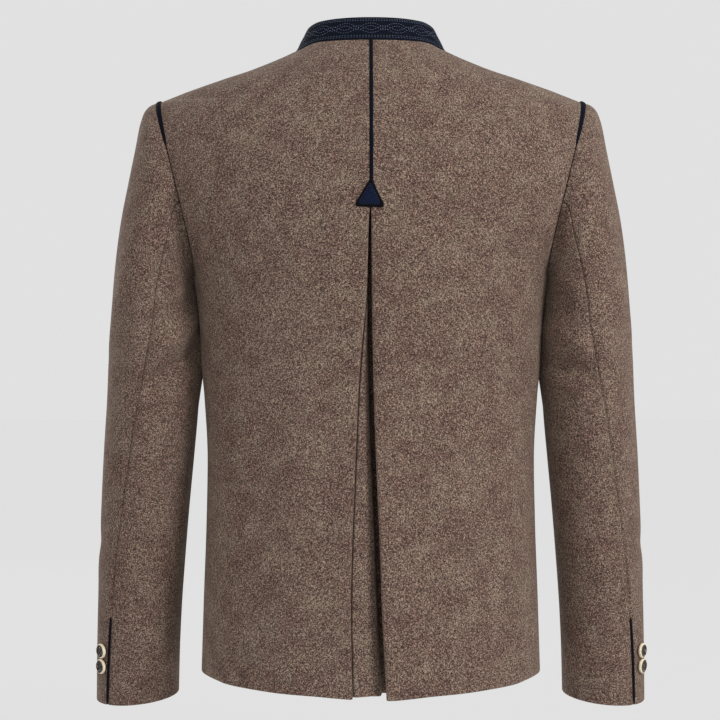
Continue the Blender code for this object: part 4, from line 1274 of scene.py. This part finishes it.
@dataclass
class Sleeve:
    """Two-piece sleeve with a piped cuff slit and two horn buttons.

    Body touch gives, at heights, how far the sleeve swells towards the body, and body edge how far out
    the body's edge is.
    """

    side: Side
    form: SleeveForm
    finishes: Finishes
    groove: float = 0.0012
    head_groove: float = 0.3
    groove_width: float = 0.0015
    sway: float = 0.008
    top_columns: int = 84
    under_columns: int = 46
    slit_rings: tuple[float, float] = (14.05, 15.98)
    slit_half_width: float = 0.0015
    slit_half_height: float = 0.0009
    button_rings: tuple[float, float] = (14.82, 15.165)
    button_radius: float = 0.00825
    button_height: float = 0.0042
    body_touch: tuple[Row, ...] = (
        (-0.392, 0.0), (-0.374, 0.0012), (-0.358, 0.0028), (-0.345, 0.0036), (-0.310, 0.0043),
        (-0.276, 0.0042), (-0.255, 0.0022), (-0.235, 0.0),
    )
    body_edge: tuple[Row, ...] = (
        (-0.400, 0.186), (-0.353, 0.187), (-0.312, 0.189), (-0.276, 0.192), (-0.234, 0.1955),
        (-0.199, 0.200), (-0.171, 0.2065), (-0.140, 0.210),
    )
    tuck_pockets: Row = (-0.258, -0.336)
    pocket_width: float = 0.014
    pocket_gain: float = 1.1
    tuck_from: tuple[float, float] = (-0.140, 0.05)
    tuck_to: tuple[float, float] = (-0.405, 0.045)
    turned: float = 0.45
    head_rows: int = 30
    arm_rows: int = 150
    seam_crowding: float = 0.85
    head_calm: float = 0.03
    seam_calm: float = 0.012
    seam_share: float = 0.25
    creases: tuple[Crease, ...] = (
        Crease((-0.080, -0.288), (0.030, -0.336), 0.0066, 0.012, 0.007, 0.2),
        Crease((-0.080, -0.326), (0.018, -0.368), -0.0078, 0.010, 0.006, 0.1),
        Crease((-0.070, -0.232), (0.012, -0.280), 0.0036, 0.013, 0.008),
        Crease((0.040, -0.180), (0.075, -0.330), 0.0018, 0.014, 0.008),
        Crease((-0.030, -0.430), (0.045, -0.470), 0.0020, 0.013, -0.006),
        Crease((0.020, -0.520), (0.085, -0.560), -0.0014, 0.012, 0.006),
        Crease((0.150, -0.345), (0.240, -0.330), 0.0032, 0.010, -0.010),
        Crease((0.140, -0.385), (0.235, -0.365), 0.0028, 0.010, -0.008),
        Crease((0.150, -0.430), (0.230, -0.400), 0.0022, 0.011, -0.006),
        Crease((0.060, -0.620), (0.130, -0.650), 0.0014, 0.012, 0.006),
    )

    def tucked(self, points: Array, angle: Array) -> Array:
        """Points with the inner back of the sleeve pressed forward where it goes behind the body's edge.

        The move grows from nothing well outside the body's edge to its full depth at the edge, fades out
        where the sleeve turns to the body, and has two deeper pockets on the way down. The part that faces
        the body swells towards it down to the elbow, where the two touch.

        Args:
            points: The sleeve's grid, for the left sleeve.
            angle: The grid's angles.

        Returns:
            The pressed grid.
        """
        height, fit = points[..., 2], SIDE_FITS[self.side]
        edge, touch = (np.interp(height, *zip(*rows)) for rows in (self.body_edge, self.body_touch))
        near = smooth((edge + fit.tuck_reach - points[..., 0]) / fit.tuck_reach)
        pockets = sum(bell((height - low) / self.pocket_width) for low in self.tuck_pockets)
        (top, over), (bottom, under) = self.tuck_from, self.tuck_to
        fade = smooth((top - height) / over) * smooth((height - bottom) / under)
        behind = smooth(np.sin(angle) / self.turned)
        pressed = points.copy()
        pressed[..., 1] -= fit.tuck * (1 + self.pocket_gain * pockets) * near * fade * behind
        pressed[..., 0] -= touch * smooth((-np.cos(angle) - 1 + self.turned) / self.turned)
        return pressed

    def panel(self, name: str, front_angle: float, columns: int) -> Cloth:
        """One sleeve piece between the back seam and the front seam.

        Args:
            name: The piece's name.
            front_angle: Angle of the front seam as reached from this side.
            columns: Steps between the seams, closer together at both.

        Returns:
            The cloth, with creases placed by the way around from the back seam and the height.
        """
        head = np.linspace(0, 4, self.head_rows, endpoint=False)
        ring = np.concatenate([head, np.linspace(4, 16, self.arm_rows)])[:, None]
        back = self.form.back_seam(ring)
        share = np.linspace(0, 1, columns + 1)[None]
        share = share - self.seam_crowding * np.sin(2 * np.pi * share) / (2 * np.pi)
        angle = back + (front_angle - back) * share
        points = self.form.point(ring, angle)
        outside = points - self.form.point(ring, np.array([[0.0, np.pi]])).mean(axis=1, keepdims=True)
        around, down = along_rows(points), down_columns(points)
        from_edge = np.minimum(around, around[:, -1:] - around)
        signed = around if front_angle < 0 else -around
        calm = self.seam_share + (1 - self.seam_share) * smooth(from_edge / self.seam_calm)
        calm = smooth(down / self.head_calm) * calm
        sway = self.side.value * self.sway
        moved = [crease.swayed(sway, 1 + 10 * sway) for crease in self.creases]
        points = creased(points, outside, moved, (signed, points[..., 2]), calm)
        points = self.tucked(points, angle)
        seams, head = bell(from_edge / self.groove_width), bell(down / self.groove_width)
        points = pushed(points, outside, -self.groove * (seams + self.head_groove * head))
        return Cloth(name, placed(points, self.side), placed(outside, self.side))

    def frame_at(self, ring: float, angle: float) -> tuple[Array, Array, Array]:
        """Point, normal and sideways direction on this side's sleeve."""
        return tuple(placed(vector, self.side) for vector in self.form.frame_at(ring, angle))

    def slit_piping(self) -> Piece:
        """Thin piping along the back seam over the cuff's slit."""
        rings = np.linspace(*self.slit_rings, 40)
        frames = [self.frame_at(ring, float(self.form.back_seam(ring))) for ring in rings]
        points, normals, aside = (np.array(column) for column in zip(*frames))
        ends = np.sqrt(np.clip(1 - np.abs(np.linspace(-1, 1, len(rings))) ** 14, 0.05, 1))
        return tube(
            "cuff_slit_piping_" + self.side.label, points + normals * 0.0006, aside, normals,
            self.slit_half_width * ends, self.slit_half_height * ends, self.finishes.piping,
        )

    def build(self) -> None:
        """Build and dress both cloth pieces, the piping and the buttons."""
        label, front = self.side.label, math.radians(self.form.front_seam)
        for name, angle, columns in (
            ("sleeve_top_", front - 2 * math.pi, self.top_columns),
            ("sleeve_under_", front, self.under_columns),
        ):
            cloth = self.panel(name + label + "_cloth", angle, columns)
            dress_sheet(cloth, self.finishes.tweed, name + label)
        dress(self.slit_piping(), ["piping_cuff_" + label])
        for number, ring in enumerate(self.button_rings, 1):
            node = "cuff_button_%s_%d" % (label, number)
            seed = 1.3 * number + self.side.value
            button = HornButton("horn_" + node, self.button_radius, self.button_height, seed)
            centre, normal, _ = self.frame_at(ring, math.radians(SIDE_FITS[self.side].button_angle))
            button.sew_on(centre, normal, self.finishes, node)


@dataclass(frozen=True)
class Band:
    """The collar's outer surface, read by distances along its middle and shares of its height."""

    grid: Array
    normals: Array
    end_margin: float = 0.016

    def walk(self) -> Array:
        """Distance of each column from the band's first end, along the middle row."""
        return along_rows(self.grid)[len(self.grid) // 2]

    def at(self, along: Array, share: Array) -> tuple[Array, Array]:
        """Points and normals, read between the grid's own.

        Args:
            along: Distances from the centre back, positive towards the wearer's left.
            share: Shares of the height, 0 at the neckline.

        Returns:
            Points and unit normals.
        """
        walk = self.walk()
        column = np.interp(along + walk[-1] / 2, walk, np.arange(len(walk)))
        row = share * (len(self.grid) - 1)
        i = np.floor(row).astype(int).clip(0, len(self.grid) - 2)
        j = np.floor(column).astype(int).clip(0, len(walk) - 2)
        t, s = (row - i)[:, None], (column - j)[:, None]
        points, normals = (
            (values[i, j] * (1 - s) + values[i, j + 1] * s) * (1 - t)
            + (values[i + 1, j] * (1 - s) + values[i + 1, j + 1] * s) * t
            for values in (self.grid, self.normals)
        )
        return points, unit(normals)

    def stitches(self, share_at: Callable[[Array], Array], step: float,
                 off: float = 0.0) -> tuple[Array, Array, Array]:
        """One line of stitches.

        Args:
            share_at: Gives shares of the height at distances along the band.
            step: Distance from stitch to stitch.
            off: Start of the first stitch, as a share of a step.

        Returns:
            Middles, directions and normals.
        """
        length = float(self.walk()[-1]) - self.end_margin
        along = np.arange(-length / 2 + off * step, length / 2, step)
        centres, up = self.at(along, share_at(along))
        ahead, _ = self.at(along + 0.0005, share_at(along + 0.0005))
        return centres, ahead - centres, up


@dataclass
class Collar:
    """Stand collar: a leaning navy band with rounded front corners and stitched ornament.

    The ornament is plain rows by both edges, at shares of the height, and two pairs of crossing waves
    between them, each given by its reach and its period, which leave lozenges in the middle.
    """

    form: BodyForm
    finishes: Finishes
    top_half_width: float = 0.070
    top_back: float = 0.050
    top_front: float = 0.066
    top_side_height: float = 0.0225
    top_back_rise: float = 0.005
    top_front_fall: float = 0.068
    end_gap: float = 0.0010
    corner: float = 0.012
    cloth: float = 0.0024
    overlap: float = 0.0012
    flare: float = 0.0011
    swell: float = 0.0007
    rows: int = 26
    stitch: Stitches = Stitches(0.0016, 0.00024, 0.00024)
    plain_rows: Row = (0.10, 0.17, 0.83, 0.90)
    plain_step: float = 0.0030
    waves: tuple[Row, ...] = ((0.21, 0.056), (0.09, 0.028))
    wave_step: float = 0.0026

    def half(self) -> Array:
        """Left half of the band, from the centre back round to the centre front, as rows of points.

        The base follows the neckline. The top is a smaller squared oval at its own height, and each
        column runs straight between them, cut short by a quarter circle at the front corner. The lowest
        millimetres stand out by a bell of the height, over the neck seam.

        Returns:
            The grid of outer points.
        """
        station, form = np.array([[3.0]]), self.form
        back = form.point(station, Face.BACK, np.linspace(1e-5, np.pi / 2, 70)[None])[0]
        front = form.point(station, Face.FRONT, np.linspace(np.pi / 2, 1e-3, 76)[None])[0][1:]
        low = np.concatenate([back, front])
        face = np.concatenate([np.ones(len(back)), -np.ones(len(front))])
        behind = face > 0
        share = np.clip(low[:, 0] / back[-1, 0], 0, 1)
        level = np.cos(np.arcsin(share ** (form.squareness / 2)))
        rise = np.where(behind, self.top_back_rise * level, -self.top_front_fall * level ** form.fall_power)
        depth = np.where(behind, self.top_back, self.top_front)
        high = stack(
            self.top_half_width * share,
            face * depth * level ** (2 / form.squareness),
            self.top_side_height + rise,
        )
        shift = np.where(low[:, :1] < self.end_gap, self.end_gap - low[:, :1], 0.0) * (face < 0)[:, None]
        low = low + shift * ACROSS - unit(high - low) * self.overlap
        high = high + shift * ACROSS
        from_end = np.where(behind, 1.0, low[:, 0] - self.end_gap)
        inset = np.clip(self.corner - from_end, 0, self.corner)
        short = self.corner - np.sqrt(np.maximum(self.corner ** 2 - inset ** 2, 0))
        reach = 1 - short / np.linalg.norm(high - low, axis=1)
        shares = np.linspace(0, 1, self.rows)[:, None, None]
        band = low[None] + (high - low)[None] * shares * reach[None, :, None]
        return band + unit(low * LEVEL)[None] * (self.flare * bell(shares / 0.10))

    def ornament(self, band: Band) -> tuple[list, list]:
        """Runs of stitches of the plain rows, and of the waves: half the height plus or less a cosine."""
        plain = [
            band.stitches(lambda at, k=k: np.full_like(at, k), self.plain_step, 0.3 * k)
            for k in self.plain_rows
        ]
        waves = [
            band.stitches(lambda at, s=sign, a=reach, p=period: 0.5 + s * a * np.cos(2 * np.pi * at / p),
                          self.wave_step)
            for reach, period in self.waves for sign in (1, -1)
        ]
        return plain, waves

    def build(self) -> None:
        """Build and dress the band and its stitching."""
        left = self.half()
        whole = np.concatenate([placed(left[:, :0:-1], Side.RIGHT), left], axis=1)
        outside = whole * LEVEL
        swell = self.swell * np.sin(np.pi * np.linspace(0, 1, self.rows))[:, None]
        whole = pushed(whole, outside, swell)
        middle = whole.shape[1] // 2
        cloth = Cloth("stand_collar", whole, outside, self.cloth, rim_steps=5, origin_column=middle)
        dress_sheet(cloth, self.finishes.collar, "collar")
        plain, waves = self.ornament(Band(whole, grid_normals(whole, outside)))
        for name, runs in (("collar_plain_stitching", plain), ("collar_wave_stitching", waves)):
            dress(self.stitch.build(name, runs, self.finishes.blue_thread))


@dataclass
class Trim:
    """Navy piping on the centre back and the armholes, the triangle, and the front's buttons."""

    form: BodyForm
    finishes: Finishes
    piping_half_width: float = 0.0019
    piping_half_height: float = 0.0011
    triangle_apex: float = -0.1545
    triangle_base: float = -0.1825
    triangle_half_width: float = 0.0150
    triangle_offset: float = 0.0015
    triangle_thickness: float = 0.0017
    corner_radius: float = 0.0030
    apex_sharper: float = 0.35
    triangle_rings: Row = (0.0, 0.15, 0.3, 0.45, 0.56, 0.64, 0.69, 0.72, 0.76, 0.83, 0.90, 0.96, 1.0, 1.0)
    triangle_rises: Row = (1.0, 1.0, 0.98, 0.94, 0.88, 0.76, 0.62, 0.50, 0.80, 1.15, 1.22, 1.0, 0.5, 0.0)
    stitch_ring: int = 7
    triangle_stitch: Stitches = Stitches(0.0018)
    stitch_step: float = 0.0024
    roll_half_width: float = 0.0034
    roll_half_height: float = 0.0018
    roll_reach: float = 64.5
    button_first: float = -0.103
    button_spacing: float = 0.092
    button_count: int = 6
    button_radius: float = 0.0110
    button_height: float = 0.0052
    hole: tuple[float, float] = (0.0115, 0.0165)
    hole_half_height: float = 0.0009
    hole_stitch: Stitches = Stitches(0.0016, 0.00035)

    def back_piping(self) -> Piece:
        """Thin rolled piping over the centre back seam, from the collar to the triangle."""
        heights = np.linspace(0.0005, self.triangle_apex - 0.002, 90)
        points, normals = self.form.back_at(np.zeros(len(heights)), heights)
        uneven = 1 + 0.05 * np.sin(heights * 210) + 0.04 * np.sin(heights * 97 + 1)
        return tube(
            "back_seam_piping", points + normals * 0.0003, np.tile(ACROSS, (len(heights), 1)), normals,
            self.piping_half_width * uneven, self.piping_half_height * uneven, self.finishes.piping,
        )

    def triangle_outline(self) -> Array:
        """Rounded triangle as places across and heights, with an arc at each corner.

        The corners are set a little unevenly, as sewn by hand.

        Returns:
            The outline's points, n by 2.
        """
        corners = np.array((
            (0.3 * self.triangle_offset, self.triangle_apex + 0.002),
            (self.triangle_offset - self.triangle_half_width - 0.0012, self.triangle_base - 0.0012),
            (self.triangle_offset + self.triangle_half_width + 0.0022, self.triangle_base),
        ))
        outline = []
        for k in range(3):
            here, before, after = corners[k], corners[k - 1], corners[(k + 1) % 3]
            first, second = unit(before - here), unit(after - here)
            half = math.acos(float(np.clip(first @ second, -1, 1))) / 2
            radius = self.corner_radius * (self.apex_sharper if k == 0 else 1.0)
            middle = here + unit(first + second) * radius / math.sin(half)
            begin = here + first * radius / math.tan(half) - middle
            end = here + second * radius / math.tan(half) - middle
            t = np.linspace(0, 1, 13)[:, None]
            outline.append(middle + unit(begin * (1 - t) + end * t) * radius)
        return np.concatenate(outline)

    def triangle(self) -> tuple[Piece, Piece]:
        """Small padded patch with a stitched border.

        Rings run from the middle to the outline. The patch is level inside, dips at the stitch line,
        rises in the darker rolled border and turns down at the edge.

        Returns:
            The patch and its border stitches.
        """
        outline = self.triangle_outline()
        middle = outline.mean(axis=0)
        rings, rise = (np.array(row)[:, None, None] for row in (self.triangle_rings, self.triangle_rises))
        flat = middle + (outline - middle)[None] * rings
        points, normals = self.form.back_at(flat[..., 0], flat[..., 1])
        points = points + normals * (0.0004 + self.triangle_thickness * rise)
        under = points[-1:] * 0 + self.form.back_at(*middle)[0]
        points, uv = np.concatenate([points, under]), np.concatenate([flat, flat[:1]])
        patch = shell_object("back_triangle_patch", points, uv, self.finishes.patch)
        border = np.repeat(np.arange(len(points) - 1) >= self.stitch_ring, len(outline))
        patch.data.materials.append(self.finishes.border)
        patch.data.polygons.foreach_set("material_index", border.astype(np.int32))
        line = middle + (outline - middle) * self.triangle_rings[self.stitch_ring]
        closed = np.concatenate([line, line[:1]])
        walk = along_rows(closed[None])[0]
        at = np.arange(0, walk[-1] - 0.001, self.stitch_step)
        (centres, up), (ahead, _) = (
            self.form.back_at(*(np.interp(way, walk, closed[:, k]) for k in (0, 1)))
            for way in (at, (at + 0.0008) % walk[-1])
        )
        run = (centres + up * (0.0005 + self.triangle_thickness * 0.80), ahead - centres, up)
        return patch, self.triangle_stitch.build("back_triangle_stitching", [run], self.finishes.navy_thread)

    def armhole_piping(self, side: Side) -> Piece:
        """Thick rolled piping over the shoulder part of the armhole, thinned out to both ends.

        It follows the armhole seam. Its outward direction is the mean of the body's and the sleeve's,
        read as the direction from the armhole's axis and upwards.

        Args:
            side: The wearer's side.

        Returns:
            The piping's object.
        """
        turns = np.radians(np.linspace(-self.roll_reach, self.roll_reach, 72))
        path = self.form.armhole(turns)
        tangent = unit(np.gradient(path, axis=0))
        share = np.abs(turns) / np.radians(self.roll_reach)
        outward = unit(stack(0.32 + 0.45 * share, 0.9 * np.sin(turns), 1.0 * np.cos(turns)))
        up = unit(outward - tangent * np.sum(outward * tangent, axis=1, keepdims=True))
        aside = unit(np.cross(tangent, up))
        taper = np.sqrt(np.clip(1 - share ** 7.0, 0.004, 1))
        path, aside, up = (placed(values, side) for values in (path - up * 0.0004, aside, up))
        return tube(
            "armhole_piping_" + side.label, path, aside, up,
            self.roll_half_width * taper, self.roll_half_height * taper, self.finishes.piping,
        )

    def front_buttons(self) -> None:
        """Closure buttons on the centre line, each with its thread and a worked buttonhole."""
        holes = []
        for number in range(self.button_count):
            height = np.array(self.button_first - number * self.button_spacing)
            station = self.form.station_at(height, Face.FRONT)
            centre = self.form.point(station, Face.FRONT, np.array(1e-5))
            normal = self.form.centre_normal(station, Face.FRONT)
            node = "front_button_%d" % (number + 1)
            button = HornButton("horn_" + node, self.button_radius, self.button_height, 0.9 * number)
            button.sew_on(centre, normal, self.finishes, node)
            across = np.repeat(np.linspace(*self.hole, 6), 2)
            lift = np.tile((-self.hole_half_height, self.hole_half_height), 6)[:, None]
            seat = self.form.at(station, Face.FRONT, across) + lift * UP
            holes.append((seat, np.tile(0.15 * ACROSS + UP, (12, 1)), np.tile(normal, (12, 1))))
        stitching = self.hole_stitch.build("front_buttonhole_stitching", holes, self.finishes.brown_thread)
        dress(stitching)

    def build(self) -> None:
        """Build and dress every piece of trim."""
        dress(self.back_piping(), ["piping_back"])
        patch, stitches = self.triangle()
        dress(patch, ["back_triangle"])
        dress(stitches)
        for side in Side:
            dress(self.armhole_piping(side), ["piping_armhole_" + side.label])
        self.front_buttons()


@dataclass
class Studio:
    """Pale floor and surroundings, soft lights and the camera behind the coat.

    Each light has its name, place, side length and watts. The key stands behind the wearer's right
    shoulder, a weak one over the camera opens the shadows of the folds, and the fill lights the front.
    """

    floor_height: float = -0.86
    floor_half_side: float = 14.0
    floor_glow: float = 0.935
    pale: str = "#e1e1e1"
    lens: float = 92.4
    camera_place: Row = (0.0118, 2.033, -0.341)
    aim: Row = (0.0, 0.0, -0.33)
    lights: tuple[tuple[str, Row, float, float], ...] = (
        ("key_softbox", (-1.9, 1.78, 0.72), 0.8, 47.0),
        ("camera_softbox", (0.25, 2.75, 0.45), 1.2, 9.0),
        ("fill_softbox", (1.6, -2.0, 0.6), 1.4, 16.0),
    )

    def floor(self) -> None:
        """Wide plain floor, which glows a little so that it stays even out to the horizon."""
        corners = np.array(((-1.0, -1.0), (1.0, -1.0), (1.0, 1.0), (-1.0, 1.0))) * self.floor_half_side
        points = stack(corners[:, 0], corners[:, 1], self.floor_height)
        finish = Recipe("matt_studio_floor_paint", {
            "Base Color": (0.05, 0.05, 0.05, 1.0), "Roughness": 1.0, "Specular IOR Level": 0.0,
            "Emission Color": linear(self.pale), "Emission Strength": self.floor_glow,
        }).material
        mesh_object("studio_floor", points, numbered(1, 4), corners, finish)

    def rig(self, name: str, data: bpy.types.ID, place: Row, turn: Row) -> Piece:
        """Linked object of a light or a camera, at its place and turn."""
        rig = bpy.data.objects.new(name, data)
        bpy.context.scene.collection.objects.link(rig)
        rig.location, rig.rotation_euler = place, turn
        return rig

    def light(self, name: str, place: Row, size: float, watts: float) -> None:
        """Square soft light that faces the coat's middle."""
        lamp = bpy.data.lights.new(name, "AREA")
        lamp.size, lamp.energy = size, watts
        x, y, z = np.subtract(self.aim, place)
        tilt = math.acos(-z / math.hypot(x, y, z))
        self.rig(name, lamp, place, (tilt, 0.0, math.atan2(y, x) - math.pi / 2))

    def build(self) -> None:
        """Floor, surroundings, lights, and a level camera straight behind the coat."""
        self.floor()
        scene, world = bpy.context.scene, bpy.data.worlds.new("pale_surroundings")
        world.use_nodes = True
        world.node_tree.nodes["Background"].inputs["Color"].default_value = linear(self.pale)
        scene.world = world
        scene.view_settings.view_transform = "Standard"
        for light in self.lights:
            self.light(*light)
        data = bpy.data.cameras.new("camera")
        data.lens, data.sensor_width = self.lens, 36.0
        scene.camera = self.rig("camera", data, self.camera_place, (math.radians(90), 0.0, math.radians(180)))


def main() -> None:
    """Build the coat piece by piece, then the studio."""
    logging.basicConfig(level=logging.INFO, format="%(name)s: %(message)s")
    finishes, body_form, sleeve_form = Finishes(), BodyForm(), SleeveForm()
    Body(body_form, finishes).build()
    for side in Side:
        Sleeve(side, sleeve_form, finishes).build()
    Collar(body_form, finishes).build()
    Trim(body_form, finishes).build()
    Studio().build()


if __name__ == "__main__":
    main()
